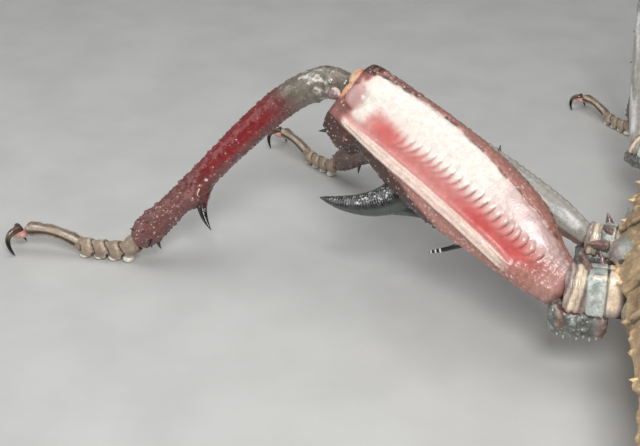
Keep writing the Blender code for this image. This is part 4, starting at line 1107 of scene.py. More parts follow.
def plates(first, last, joints, pitch, seed):
    """A run of the trunk: overlapping plates, bark-like back, beaded margins, smooth flanks."""
    y = np.linspace(first, last, int(abs(last - first) / pitch))
    controls, side = trunk_controls(y)
    body = sweep(np.stack([np.zeros_like(y), y, side], -1), RIGHT, UP, controls, pitch)
    y = y[:, None]
    place = np.minimum(body.around, controls.shape[1] - body.around)

    # Steps between the plates: each tucks in behind its joint and has a lip before it.
    wander = 0.25 * lumps(body.points, 2.2, seed) + 0.35 * bell(place, 0.0, 1.2)
    gap = np.array(joints)[:, None, None] - (y - wander)
    behind = np.min(np.where(gap >= 0, gap, FAR), axis=0)
    before = np.min(np.where(gap < 0, -gap, FAR), axis=0)
    tuck = 0.42 * np.exp(-behind / 1.5)
    lip = 0.16 * bell(before, 0.35, 0.3) - 0.25 * bell(before, 0.0, 0.12)
    crease = bell(behind, 0.05, 0.16)

    # Zones round the trunk, and the relief of each.
    back = fall(place, 2.4, 3.2)
    rim = bell(place, 3.35, 0.42)
    flank = step(place, 4.0, 4.8) * fall(place, 6.6, 7.4)
    belly = step(place, 6.4, 7.2)
    keel = bell(place, 0.0, 0.28)
    bark = rough(body.points * (1.0, 0.45, 1.0), 1.7, 4, seed + 3)
    broad = rough(body.points * (1.0, 0.6, 1.0), 4.5, 3, seed + 21)
    furrow = 1 - np.abs(lumps(body.points * (1.0, 0.30, 1.0), 0.9, seed + 5))
    knobs = granules(body.points, 1.05, seed + 7, 0.42)
    grains = granules(body.points, 0.50, seed + 9)
    beads = granules(body.points, 0.78, seed + 11, 0.52) * rim
    hips = sum(bell(y, at, reach) for at, reach in HIPS) * flank
    height = -tuck + lip + 0.22 * keel * (1 - crease) + 0.26 * bark * back + 0.10 * furrow**6 * back
    height += 0.22 * knobs * (back + rim) + 0.09 * grains * (back + 0.5 * belly + 0.3 * flank)
    height += 0.20 * rim + 0.34 * beads + 0.08 * bark * (flank + belly) + 0.25 * hips
    folds = np.sin(y * 5.0 + 2.0 * lumps(body.points, 1.4, seed + 15))
    folds = folds * flank * (1 - np.clip(hips, 0, 1))
    height += 0.05 * folds
    shut = np.minimum(1, np.minimum(y - last, first - y) / 0.6 + 0.05)
    body.raise_by(height * np.clip(shut, 0, 1))
    return body.tint(
        dark=0.9 * crease + 0.6 * step(-bark, 0.05, 0.5) * back + 0.3 * folds
        + 0.35 * step(furrow, 0.88, 1.0) * back + 0.35 * step(broad, 0.1, 0.5) * back,
        cream=0.9 * beads + (0.25 + 0.5 * step(-broad, -0.2, 0.3)) * knobs * (back + rim)
        + 0.40 * rim,
        pale=0.85 * hips + 0.30 * flank * step(bark, -0.1, 0.4),
        blush=0.30 * flank * step(-bark, -0.1, 0.4) + 0.5 * bell(place, 6.4, 0.5),
        grain=grains, tone=np.clip(0.5 + 0.8 * bark, 0, 1))


def body_point(y, out, rise):
    """A place on the trunk's right side by shares of its half width and of its back's rise."""
    margin, side, back = (smooth_rows(TRUNK, np.array([y]), k)[0] for k in (1, 3, 4))
    return np.array([margin * out, y, side + (back - side) * rise])


# Spines of the thorax: place along the body, shares of half width and rise, length.
BODY_SPINES = (
    (18.7, 1.0, 0.0, 0.9), (14.9, 1.0, 0.0, 1.0), (16.6, 0.45, 0.9, 0.7),
    (10.6, 1.0, 0.0, 0.8), (6.9, 1.0, 0.0, 1.0), (2.8, 1.0, 0.0, 1.0), (-1.3, 1.0, 0.0, 1.0),
    (-5.4, 1.0, 0.0, 0.9), (6.9, 0.4, 0.9, 0.6), (-2.4, 0.4, 0.9, 0.7),
    (-9.4, 1.0, 0.0, 0.8), (-12.6, 1.0, 0.0, 0.9), (-16.0, 1.0, 0.0, 0.8), (-13.3, 0.4, 0.9, 0.6),
)


def trunk_spines(rows):
    """Paired spines of the trunk."""
    made = []
    for y, out, rise, length in rows:
        for hand in (-1, 1):
            root = body_point(y, out, rise) * (hand, 1, 1)
            lean = unit((hand * out, -0.35, 0.25 + 1.3 * rise))
            spine = thorn(root - lean * 0.3, root + lean * length, 0.36 * length + 0.16,
                          (0, -0.12, 0.1), 0.12, pale=0.45)
            spine.raise_by(0.06 * granules(spine.points, 0.3, 3) * (1 - spine.along))
            made.append(spine.tint(cream=0.85 * step(spine.along, 0.1, 0.5)))
    return made


def abdomen_joints():
    """Rear edges of the abdomen's plates."""
    edges = [THORAX_ENDS[-1]]
    for length in ABDOMEN_LENGTHS:
        edges.append(edges[-1] - length - GAP)
    return edges


CERCUS_RADII = ((0, 0.55), (0.4, 0.78), (0.8, 0.6), (1, 0.12))


def cerci(joint):
    """Two short feelers at the tail."""
    made = []
    for hand in (-1, 1):
        course = [(hand * (1.3 + 0.7 * s), joint - 0.1 - 2.2 * s + 1.4 * (s < 0.1), 5.9 - 0.9 * s)
                  for s in (0.0, 0.33, 0.66, 1.0)]
        tail = rod(course, CERCUS_RADII, pitch=0.12)
        made.append(tail.raise_by(0.05 * granules(tail.points, 0.3, 3)))
    return made


SKULL_BACK = 21.3
SKULL_FRONT = 31.9


def skull(pitch):
    """The head: domed crown with granules, sockets for the eyes, and a creased face."""
    run = np.linspace(SKULL_BACK, SKULL_FRONT, int((SKULL_FRONT - SKULL_BACK) / pitch))
    width, height, depth, lean = (smooth_rows(HEAD, run, k) for k in (1, 2, 3, 4))
    front = np.clip((SKULL_FRONT - run) / 1.3, 0, 1)
    shut = dome(front)
    zero = np.zeros_like(run)
    centre = np.stack([zero, run, height - 0.35 * (1 - front) * 2], -1)
    up = np.stack([zero, lean, np.ones_like(run)], -1)
    body = sweep(centre, RIGHT, up, oval_controls(width * shut, depth * shut, 16), pitch)
    points = body.points
    x = np.abs(points[..., 0])
    y = points[..., 1]
    z = points[..., 2]

    # Sockets and brows of the eyes, rings and pits of the feelers, seams and grains.
    eye_far = np.linalg.norm((np.stack([x, y, z], -1) - EYE_CENTRE) / np.array(EYE_RADII), axis=-1)
    socket = bell(eye_far, 0.0, 1.05)
    brow = bell(eye_far, 1.45, 0.22)
    horn_far = np.linalg.norm(np.stack([x - 1.75, y - 31.3, z - 10.9], -1), axis=-1)
    ring = bell(horn_far, 0.95, 0.25)
    pit = bell(horn_far, 0.0, 0.6)
    crown = step(z, 9.8, 11.6)
    cheek = step(x, 2.4, 3.4) * step(10.2 - z, 0, 1.5)
    grains = granules(points, 0.50, 3)
    knobs = granules(points, 1.1, 5, 0.4) * crown
    seam = bell(x, 0.0, 0.10) * step(y, 23, 24)
    fork = bell(x - 0.9 * (y - 27.6), 0.0, 0.14) * step(y, 27.6, 28.2) * crown
    cheek_line = bell(z - 8.6 - 0.25 * (y - 28), 0.0, 0.10) * step(27.0 - y, -0.5, 0.5)
    face_line = bell(z - 8.9, 0.0, 0.12) * step(y, 30.0, 30.6)
    neck = fall(y, 21.8, 22.8)
    height = -0.62 * socket + 0.26 * brow + 0.22 * ring - 0.25 * pit + 0.16 * knobs
    height += 0.07 * grains
    lines = seam + fork + cheek_line
    height += -0.14 * lines - 0.16 * face_line + 0.10 * rough(points, 1.8, 4, 9)
    body.raise_by(height * shut[:, None])
    bark = rough(points, 1.6, 4, 19)
    return body.tint(
        cream=0.7 * knobs + 0.45 * brow + 0.4 * ring + 0.35 * grains * cheek, grain=grains,
        dark=0.8 * (lines + face_line) + 0.7 * pit + 0.7 * neck
        + 0.4 * step(-bark, 0.1, 0.5), pale=0.35 * cheek * step(bark, -0.1, 0.4),
        blush=0.25 * cheek, tone=0.5 + 0.7 * bark)


# Spines of the crown: place along the head, lean outward and upward, length.
CROWN_SPINES = ((24.0, 0.35, 0.95, 1.7), (24.2, 0.8, 0.6, 1.6), (26.4, 0.4, 0.9, 1.5),
                (25.2, 1.0, 0.15, 1.3))


def crown_spines():
    """The crown of spines on the back of the head."""
    made = []
    for y, out, rise, length in CROWN_SPINES:
        width, height, depth = (smooth_rows(HEAD, np.array([y]), k)[0] for k in (1, 2, 3))
        for hand in (-1, 1):
            lean = unit((hand * out, -0.45, rise + 0.25))
            turn = unit((hand * out, 0.0, rise))
            root = np.array([0, y, height]) + turn * (width * abs(turn[0]) + depth * turn[2]) * 0.93
            spine = thorn(root - lean * 0.2, root + lean * length, 0.25 * length,
                          (0, 0.12 * length, 0.16 * length), 0.09, pale=0.5)
            spine.raise_by(0.05 * granules(spine.points, 0.25, 3) * (1 - spine.along))
            made.append(spine.tint(dark=0.6 * bell(spine.along, 0.45, 0.3), tone=1 - spine.along))
    return made


def eye(hand):
    """A compound eye."""
    centre = np.array(EYE_CENTRE) * (hand, 1, 1)
    radii = (EYE_RADII[1], EYE_RADII[0], EYE_RADII[2])
    return blob(centre, (AHEAD, RIGHT, UP), radii, 0.09)


MOUTH = np.array([0.0, 31.1, 8.1])
FACE_AHEAD = np.array([0.0, 0.94, -0.34])
FACE_UP = np.array([0.0, 0.34, 0.94])
FACE_AXES = (FACE_AHEAD, RIGHT, FACE_UP)
# Palps: distance from the middle, drop, thickness and length; then radii along one.
PALPS = ((1.55, 0.75, 1.0, 2.9), (0.65, 1.15, 0.75, 2.0))
PALP_RADII = ((0.0, 0.28), (0.28, 0.3), (0.33, 0.2), (0.38, 0.28), (0.6, 0.29), (0.65, 0.19),
              (0.7, 0.27), (0.93, 0.3), (1.0, 0.08))


def palps(hand):
    """The jointed palps of one side."""
    made = []
    for out, drop, size, reach in PALPS:
        root = MOUTH + FACE_AHEAD * 0.9 + RIGHT * (hand * out) - FACE_UP * drop
        heading = unit((hand * 0.3, 0.5, -0.8))
        course = (root, root + heading * reach * 0.4 + RIGHT * (0.35 * hand),
                  root + heading * reach * 0.75, root + heading * reach + FACE_AHEAD * 0.35)
        palp = rod(course, [(share, radius * size) for share, radius in PALP_RADII], pitch=0.07)
        ring = bell(palp.along, 0.33, 0.03) + bell(palp.along, 0.65, 0.03)
        made.append(palp.tint(cream=ring, pale=0.3 * palp.along))
    return made


def jaw(hand):
    """The side jaw of one side, with a dark tip."""
    centre = MOUTH + FACE_AHEAD * 1.2 + RIGHT * (1.05 * hand) - FACE_UP * 0.05
    axes = (unit(FACE_AHEAD - RIGHT * 0.45 * hand), RIGHT, FACE_UP)
    made = blob(centre, axes, (1.5, 0.72, 0.75), 0.09)
    made.raise_by(0.06 * rough(made.points, 0.7, 3, 9))
    return made.tint(dark=0.9 * step(made.along, 0.35, 0.8))


def mouth():
    """Lower lip, upper lip, jaws and two pairs of jointed palps."""
    core = blob(MOUTH + FACE_AHEAD * 0.6 - FACE_UP * 0.25, FACE_AXES, (1.7, 1.6, 1.15), 0.13)
    core.raise_by(0.05 * rough(core.points, 0.9, 3, 3)).tint(dark=0.6)
    lip = blob(MOUTH + FACE_AHEAD * 1.0 + FACE_UP * 0.62, FACE_AXES, (1.6, 1.5, 0.6), 0.09)
    notch = bell(lip.points[..., 0], 0.0, 0.28) * step(lip.along, 0.72, 0.95)
    groove = bell(lip.along, 0.5, 0.035)
    lip.raise_by(-0.3 * notch - 0.13 * groove + 0.04 * granules(lip.points, 0.3, 5)
                 + 0.05 * rough(lip.points, 0.8, 3, 7))
    lip.tint(cream=0.45 * step(0.5 - lip.along, 0.0, 0.15) + 0.35 * step(lip.along, 0.8, 0.95),
             dark=0.8 * groove + 0.3 * step(lip.along, 0.52, 0.6), blush=0.3 * lip.along)
    return [[core], [lip], [jaw(-1), jaw(1)], palps(-1) + palps(1)]


ANTENNA_JOINTS = 62
ANTENNA_RADII = ((0.0, 0.5), (0.012, 0.72), (0.045, 0.78), (0.056, 0.5), (0.062, 0.5),
                 (0.075, 0.56), (0.085, 0.42), (0.3, 0.40), (1.0, 0.2))


def antenna(hand):
    """A feeler: a thick first joint, a short second, and a long whip of small joints."""
    course = np.array(ANTENNA_CURVE) * (hand, 1, 1)
    course[0] -= unit(course[1] - course[0]) * 0.35
    t = np.concatenate([np.linspace(0, 0.09, 60), np.linspace(0.09, 1, 560)[1:]])
    centre = bezier(course, t)
    across, up = frames(centre, RIGHT)
    part = (t * ANTENNA_JOINTS) % 1.0
    whip = step(t, 0.085, 0.095)
    radius = smooth_rows(ANTENNA_RADII, t)
    waist = whip * 0.13
    radius = radius * (1 - waist * bell(part, 0.0, 0.08) - waist * bell(part, 1.0, 0.08))
    radius = radius * dome(np.clip((1 - t) / 0.006, 0, 1), least=0.02)
    body = sweep(centre, across, up, oval_controls(radius, radius), 0.14)
    ring = (whip * (bell(part, 0, 0.12) + bell(part, 1, 0.12)))[:, None]
    band = numbered(np.floor(t * ANTENNA_JOINTS), 5)[:, None]
    return body.tint(pale=0.45 * ring, tone=band, dark=0.4 * (1 - ring) * band)


# ---------------------------------------------------------------- build

# From the animal's axes to the frame, found from where the solid of the left eye lies.
EYE_BOX = np.array(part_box("eye_left"))
SHIFT = EYE_BOX.mean(axis=0) / MM - np.array([-EYE_CENTRE[0], EYE_CENTRE[1], EYE_CENTRE[2]])


def put_in_scene(name, data, place=None, target=None):
    """A new object, turned at its place towards a target if one is given."""
    made = bpy.data.objects.new(name, data)
    bpy.context.scene.collection.objects.link(made)
    if place is not None:
        made.location = in_world(place)
        gaze = Vector(in_world(target)) - Vector(in_world(place))
        made.rotation_mode = "QUATERNION"
        made.rotation_quaternion = gaze.to_track_quat("-Z", "Y")
    return made


def in_world(point):
    """A place in the animal's millimetres as a place in the frame."""
    return [float(c) for c in (np.asarray(point) + SHIFT) * MM]


def facing_out(patch):
    """Whether the faces of a patch, as join turns them, look outward."""
    across = np.roll(patch.points, -1, axis=1) - patch.points
    normal = np.cross(across[:-1], np.diff(patch.points, axis=0))
    return np.sum(normal * (patch.points[:-1] - patch.centre[:-1, None])) > 0


def join(name, patches):
    """One object of closed tubes, in metres."""
    corners = []
    faces = []
    masks = {m: [] for m in MASKS}
    start = 0
    for patch in patches:
        rows, turns = patch.points.shape[:2]
        j = np.arange(turns)
        following = (j + 1) % turns
        k = np.arange(rows - 1)[:, None] * turns
        quads = np.stack([k + j, k + following, k + turns + following, k + turns + j], -1)
        quads = quads.reshape(-1, 4) + start
        first = start + rows * turns
        last = start + (rows - 1) * turns
        near = np.stack([np.full(turns, first), start + following, start + j], -1)
        far = np.stack([np.full(turns, first + 1), last + j, last + following], -1)
        tris = np.concatenate([near, far])
        if not facing_out(patch):
            quads = quads[:, ::-1]
            tris = tris[:, ::-1]
        corners += [patch.points.reshape(-1, 3), patch.points[[0, -1]].mean(axis=1)]
        faces += quads.tolist() + tris.tolist()
        for m in MASKS:
            grid = patch.masks[m]
            masks[m] += [grid.ravel(), grid[[0, -1]].mean(axis=1)]
        start = first + 2
    mesh = bpy.data.meshes.new(name)
    mesh.from_pydata(((np.concatenate(corners) + SHIFT) * MM).tolist(), [], faces)
    for m in MASKS:
        layer = mesh.attributes.new(m, "FLOAT", "POINT")
        layer.data.foreach_set("value", np.concatenate(masks[m]).astype(np.float32))
    return put_in_scene(name, mesh)


def unite(name, groups):
    """One closed skin from groups of patches; the patches of one group don't touch."""
    objects = [join(f"{name}_{i}", group) for i, group in enumerate(groups) if group]
    whole = objects[0]
    for other in objects[1:]:
        union = whole.modifiers.new("union", "BOOLEAN")
        union.operation = "UNION"
        union.solver = "MANIFOLD"
        union.object = other
        bpy.context.view_layer.update()
        seen = whole.evaluated_get(bpy.context.evaluated_depsgraph_get())
        mesh = bpy.data.meshes.new_from_object(seen)
        whole.modifiers.clear()
        whole.data = mesh
        bpy.data.objects.remove(other)
    whole.name = name
    whole.data.name = name
    whole.data.shade_smooth()
    return whole


def add_piece(name, groups, finish, nodes=()):
    """A piece of the model: its skin, its finish, its body and the solids it stands for."""
    piece = unite(name, groups)
    piece.data.materials.clear()
    piece.data.materials.append(MATERIALS[finish])
    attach(piece, "root")
    if nodes:
        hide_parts(*nodes)


class Finish:
    """A Principled material put together from noises, cells and the meshes' masks."""

    def __init__(self, name, **fixed):
        self.material = bpy.data.materials.new(name)
        self.material.use_nodes = True
        self.nodes = self.material.node_tree.nodes
        self.links = self.material.node_tree.links
        self.shader = self.nodes["Principled BSDF"]
        for socket, value in fixed.items():
            self.shader.inputs[socket.replace("_", " ")].default_value = value
        self.place = self.node("TexCoord", "Object", {})

    def feed(self, socket, value):
        """Links a socket, or sets it to a number or colour."""
        if isinstance(value, bpy.types.NodeSocket):
            self.links.new(value, socket)
        elif isinstance(value, tuple):
            socket.default_value = (*value, 1.0)
        else:
            socket.default_value = value

    def node(self, kind, output, inputs, **settings):
        """One output of a new node with some inputs fed and some settings made."""
        node = self.nodes.new("ShaderNode" + kind)
        for key, value in settings.items():
            setattr(node, key, value)
        for key, value in inputs.items():
            self.feed(node.inputs[key], value)
        return node.outputs[output]

    def mask(self, name):
        """A mask stored on the mesh."""
        return self.node("Attribute", "Fac", {}, attribute_name=name)

    def scaled(self, size):
        """Places counted in steps of a size in millimetres."""
        scale = [1.0 / (size * MM)] * 3
        return self.node("Mapping", "Vector", {"Scale": scale, "Vector": self.place})

    def noise(self, size, detail=3.0, roughness=0.55):
        """Noise with features of a size in millimetres."""
        return self.node("TexNoise", "Fac", {"Scale": 1.0, "Detail": detail,
                                             "Roughness": roughness, "Vector": self.scaled(size)})

    def cells(self, size):
        """Distance within scattered cells of a size in millimetres."""
        return self.node("TexVoronoi", "Distance", {"Scale": 1.0, "Vector": self.scaled(size)},
                         feature="F1")

    def ramp(self, value, low, high, start=0.0, end=1.0):
        """Values from low to high spread between two others."""
        return self.node("MapRange", "Result", {"From Min": low, "From Max": high, "To Min": start,
                                                "To Max": end, "Value": value},
                         interpolation_type="SMOOTHSTEP")

    def add(self, a, b, operation="ADD"):
        """Two values put together."""
        return self.node("Math", "Value", {0: a, 1: b}, operation=operation)

    def times(self, a, b):
        """Two values multiplied."""
        return self.add(a, b, "MULTIPLY")

    def mix(self, share, a, b, blend="MIX"):
        """Two colours mixed."""
        return self.node("Mix", "Result", {"Factor": share, "A": a, "B": b}, data_type="RGBA",
                         blend_type=blend)

    def done(self, colour, roughness, heights):
        """Feeds the shader; heights are (value, millimetres) pairs for its relief."""
        self.feed(self.shader.inputs["Base Color"], colour)
        self.feed(self.shader.inputs["Roughness"], roughness)
        under = {}
        for value, depth in heights:
            inputs = {"Strength": 1.0, "Distance": depth * MM, "Height": value, **under}
            under = {"Normal": self.node("Bump", "Normal", inputs)}
        self.feed(self.shader.inputs["Normal"], under["Normal"])
        return self.material


def linear(red, green, blue):
    """A colour given as screen shares, in linear light."""
    return tuple(((c + 0.055) / 1.055) ** 2.4 if c > 0.04045 else c / 12.92
                 for c in (red, green, blue))


CELL_SIZE = 0.16
# Size and colour of the painted glint dots.
GLINT_SIZE = 0.42
GLINT_COLOUR = (0.95, 0.90, 0.85)


def cuticle(name, base, second, layers, gloss, relief, coat, ragged=0.6, mottled=0.18,
            lines=None, glints=0.0):
    """Insect shell: a mottled ground colour, masked layers over it, and fine relief."""
    paint = Finish(name, Coat_Weight=coat[0], Coat_Roughness=coat[1])
    mottle = paint.noise(1.3, 4.0, 0.6)
    specks = paint.noise(0.22, 3.0, 0.65)
    colour = paint.mix(paint.ramp(mottle, 0.35, 0.65), linear(*base), linear(*second))
    for mask, tint, share in layers:
        edge = paint.add(paint.mask(mask), paint.times(paint.add(specks, -0.5), ragged))
        colour = paint.mix(paint.times(paint.ramp(edge, 0.06, 0.94), share), colour, linear(*tint))
    heights = [(specks, relief), (paint.cells(CELL_SIZE), relief * 0.8)]
    # Lines at the ripple phases, with a shallow bump: dark painted crease shadow on the great
    # thigh, pale painted highlight rings on the spur.
    if lines:
        tint, share, depth = lines
        wave = paint.add(paint.times(paint.mask("phase"), PHASES), 0.0, "FRACT")
        crest = paint.add(paint.ramp(wave, 0.0, 0.17, 1.0, 0.0), paint.ramp(wave, 0.93, 1.0))
        crest = paint.times(crest, paint.mask("line"))
        colour = paint.mix(paint.times(crest, share), colour, linear(*tint))
        heights.append((crest, -depth))
    shade = paint.ramp(paint.add(specks, paint.noise(0.6, 2.0)), 0.7, 1.3, 1 - mottled, 1 + mottled)
    grey = paint.node("CombineColor", "Color", {"Red": shade, "Green": shade, "Blue": shade})
    colour = paint.mix(1.0, colour, grey, "MULTIPLY")
    # Painted glints: small pale dots on the grain.
    if glints:
        dots = paint.ramp(paint.cells(GLINT_SIZE), 0.13, 0.27, 1.0, 0.0)
        dots = paint.times(dots, paint.mask("grain"))
        dots = paint.times(dots, paint.ramp(mottle, 0.42, 0.56, 0.15, glints))
        colour = paint.mix(dots, colour, linear(*GLINT_COLOUR))
    dull = paint.times(paint.mask("grain"), 0.16)
    roughness = paint.add(paint.ramp(mottle, 0.3, 0.7, gloss - 0.06, gloss + 0.08), dull)
    return paint.done(colour, roughness, heights)


# Finishes by name: two ground colours, layers of (mask, colour, share) from the lowest up,
# roughness, relief in millimetres, coat (weight, roughness), and what some add: how ragged the
# layers' edges are, how mottled the shell is, painted lines of (colour, share, depth), and the
# share of painted glints.
FINISHES = {
    # On the great thigh the pale layer is its own pale colour with a painted highlight over it, the
    # cream layer partly painted highlight and glints, and the lines painted crease shadow.
    "hind_thigh": dict(
        base=(0.86, 0.62, 0.59), second=(0.88, 0.66, 0.63),
        layers=(("pale", (0.98, 0.94, 0.90), 1.0), ("blush", (0.83, 0.36, 0.35), 0.95),
                ("grain", (0.70, 0.48, 0.43), 0.9), ("cream", (0.95, 0.87, 0.81), 0.95),
                ("dark", (0.25, 0.15, 0.12), 0.95), ("tone", (0.76, 0.64, 0.62), 0.8)),
        gloss=0.28, relief=0.014, coat=(0.45, 0.2), ragged=0.42, mottled=0.12,
        lines=((0.50, 0.36, 0.33), 0.85, 0.05), glints=0.7),
    "hind_shin": dict(
        base=(0.42, 0.19, 0.19), second=(0.52, 0.28, 0.27),
        layers=(("tone", (0.48, 0.45, 0.40), 1.0), ("grain", (0.48, 0.31, 0.29), 0.6),
                ("blush", (0.53, 0.10, 0.11), 0.9), ("cream", (0.68, 0.52, 0.48), 0.6),
                ("pale", (0.93, 0.92, 0.88), 0.9), ("dark", (0.13, 0.08, 0.08), 0.9)),
        gloss=0.24, relief=0.022, coat=(0.6, 0.14), ragged=0.5, mottled=0.2, glints=0.7),
    "leg_cuticle": dict(
        base=(0.40, 0.32, 0.29), second=(0.48, 0.38, 0.34),
        layers=(("tone", (0.66, 0.65, 0.61), 0.9), ("grain", (0.44, 0.34, 0.31), 0.5),
                ("blush", (0.52, 0.33, 0.30), 0.8), ("pale", (0.93, 0.93, 0.92), 0.9),
                ("cream", (0.84, 0.72, 0.62), 0.7), ("dark", (0.19, 0.14, 0.13), 0.85)),
        gloss=0.24, relief=0.012, coat=(0.6, 0.14), ragged=0.5, mottled=0.12, glints=0.6),
    "hip_cuticle": dict(
        base=(0.56, 0.58, 0.56), second=(0.66, 0.68, 0.65),
        layers=(("pale", (0.86, 0.89, 0.86), 0.9), ("cream", (0.96, 0.87, 0.76), 1.0),
                ("tone", (0.58, 0.45, 0.42), 0.9), ("blush", (0.80, 0.38, 0.27), 0.9),
                ("dark", (0.17, 0.16, 0.15), 0.95)),
        gloss=0.26, relief=0.014, coat=(0.5, 0.2), mottled=0.2, glints=0.8),
    "foot_cuticle": dict(
        base=(0.62, 0.54, 0.46), second=(0.72, 0.64, 0.55),
        layers=(("tone", (0.54, 0.46, 0.41), 0.6), ("cream", (0.86, 0.78, 0.67), 0.85),
                ("pale", (0.95, 0.93, 0.89), 0.95), ("blush", (0.80, 0.52, 0.47), 0.8),
                ("dark", (0.16, 0.12, 0.10), 0.95)),
        gloss=0.34, relief=0.016, coat=(0.35, 0.2), mottled=0.2, glints=0.5),
    # On the spur the pale layer and the pale lines are painted highlight and glints, and the tone
    # layer on its lower side is a painted reflection.
    "horn": dict(
        base=(0.13, 0.13, 0.13), second=(0.23, 0.23, 0.23),
        layers=(("pale", (0.94, 0.94, 0.94), 0.95), ("tone", (0.31, 0.34, 0.32), 0.7),
                ("blush", (0.40, 0.10, 0.12), 0.9), ("dark", (0.06, 0.05, 0.05), 0.9)),
        gloss=0.2, relief=0.008, coat=(0.7, 0.12), lines=((0.86, 0.86, 0.85), 0.8, -0.03)),
    "claw": dict(
        base=(0.36, 0.25, 0.18), second=(0.30, 0.20, 0.15),
        layers=(("tone", (0.50, 0.42, 0.36), 0.5), ("dark", (0.07, 0.05, 0.04), 1.0)),
        gloss=0.22, relief=0.006, coat=(0.5, 0.12)),
    "body_cuticle": dict(
        base=(0.49, 0.40, 0.30), second=(0.65, 0.55, 0.42),
        layers=(("tone", (0.75, 0.65, 0.51), 0.6), ("blush", (0.68, 0.48, 0.41), 0.8),
                ("pale", (0.90, 0.86, 0.80), 0.95), ("cream", (0.92, 0.80, 0.60), 0.95),
                ("dark", (0.15, 0.11, 0.08), 0.9)),
        gloss=0.44, relief=0.022, coat=(0.25, 0.28)),
    "mouthparts": dict(
        base=(0.36, 0.27, 0.20), second=(0.46, 0.34, 0.24),
        layers=(("cream", (0.80, 0.64, 0.46), 0.8), ("pale", (0.80, 0.72, 0.60), 0.6),
                ("blush", (0.50, 0.22, 0.16), 0.7), ("dark", (0.09, 0.06, 0.05), 0.95)),
        gloss=0.34, relief=0.01, coat=(0.3, 0.2)),
    "antenna": dict(
        base=(0.33, 0.25, 0.19), second=(0.42, 0.32, 0.24),
        layers=(("tone", (0.26, 0.19, 0.15), 0.6), ("pale", (0.72, 0.62, 0.48), 0.8),
                ("dark", (0.12, 0.09, 0.07), 0.8)),
        gloss=0.4, relief=0.008, coat=(0.2, 0.25)),
    "membrane": dict(
        base=(0.84, 0.60, 0.45), second=(0.80, 0.48, 0.34),
        layers=(("cream", (0.93, 0.82, 0.68), 0.8), ("blush", (0.78, 0.34, 0.20), 0.9),
                ("tone", (0.56, 0.46, 0.46), 1.0), ("pale", (0.90, 0.88, 0.88), 0.9),
                ("dark", (0.30, 0.22, 0.19), 0.95)),
        gloss=0.32, relief=0.02, coat=(0.4, 0.2)),
}


EYE_COLOURS = ((0.13, 0.08, 0.05), (0.40, 0.26, 0.14))


def eye_finish():
    """Dark brown glassy eye with fine facets and lighter flecks."""
    paint = Finish("eye", Coat_Weight=0.8, Coat_Roughness=0.06, IOR=1.5)
    flecks = paint.noise(0.35, 3.0, 0.6)
    colour = paint.mix(paint.ramp(flecks, 0.42, 0.66), linear(*EYE_COLOURS[0]),
                       linear(*EYE_COLOURS[1]))
    roughness = paint.ramp(flecks, 0.3, 0.7, 0.10, 0.2)
    return paint.done(colour, roughness, ((paint.cells(0.075), 0.012),))


MATERIALS = {name: cuticle(name, **look) for name, look in FINISHES.items()}
MATERIALS["eye"] = eye_finish()


# Soft skins at the knee: distance past it, height, distance to the rear, radii and look.
SLIM_KNEE = ((-0.5, 0.15, 0.0, (0.95, 0.85, 0.85), "dull"),)
KNEE_SKINS = {
    "fore": SLIM_KNEE,
    "mid": SLIM_KNEE,
    "hind": ((-1.1, 1.3, 0.3, (1.0, 1.2, 1.2), "flaky"),
             (-1.35, -0.1, 1.0, (0.6, 0.9, 1.35), "plain"),
             (-0.35, -1.1, 1.4, (0.62, 0.55, 0.58), "knob")),
}


def knee_skins(leg):
    """Soft folded skin between the thigh and the shin, with the shin's hinge knob beside it."""
    made = []
    for along, rise, back, radii, look in KNEE_SKINS[leg.kind]:
        skin = blob(leg.past_knee(along, rise, back), (leg.ahead, leg.rear, leg.up), radii, 0.09)
        folds = rough(skin.points, 0.7, 3, 3)
        skin.raise_by(0.10 * folds)
        if look == "knob":
            # The knob's side towards the leg's top is painted pale as a highlight; the rest takes
            # its tone.
            shine = step(np.cos(skin.angle), 0.2, 0.9)
            skin.tint(pale=0.9 * shine, tone=1 - shine)
        else:
            flakes = step(folds, -0.3, 0.3) * (look == "flaky")
            dark = {"flaky": 0.6 * step(-folds, 0.3, 0.6), "plain": 0.0, "dull": 0.75}
            skin.tint(cream=0.35 + 0.5 * folds + 0.6 * flakes, dark=dark[look],
                      blush=0.8 * step(-folds, 0.1, 0.5))
        made.append([skin])
    return made


def moved_all(groups, move):
    """Groups of patches put through a function."""
    return [[patch.moved(move) for patch in group] for group in groups]


# Spines of the limbs: share of the length, angle round it, length and lean.
FEMUR_SPINES = {
    "fore": ((0.35, -60, 1.0, 0.3), (0.6, -60, 1.2, 0.3), (0.82, -60, 1.1, 0.3),
             (0.7, 90, 0.7, 0.3)),
    "mid": ((0.35, -60, 1.1, 0.3), (0.6, -60, 1.3, 0.3), (0.82, -60, 1.1, 0.3),
            (0.7, 90, 0.7, 0.3)),
    "hind": (),
}
TIBIA_SPINES = {
    "fore": ((0.5, -90, 0.8, 0.3), (0.85, -90, 0.9, 0.4)),
    "mid": ((0.5, -90, 0.9, 0.3), (0.85, -90, 1.0, 0.4)),
    "hind": ((0.96, -60, 0.8, 0.5), (0.96, -120, 0.8, 0.5)),
}


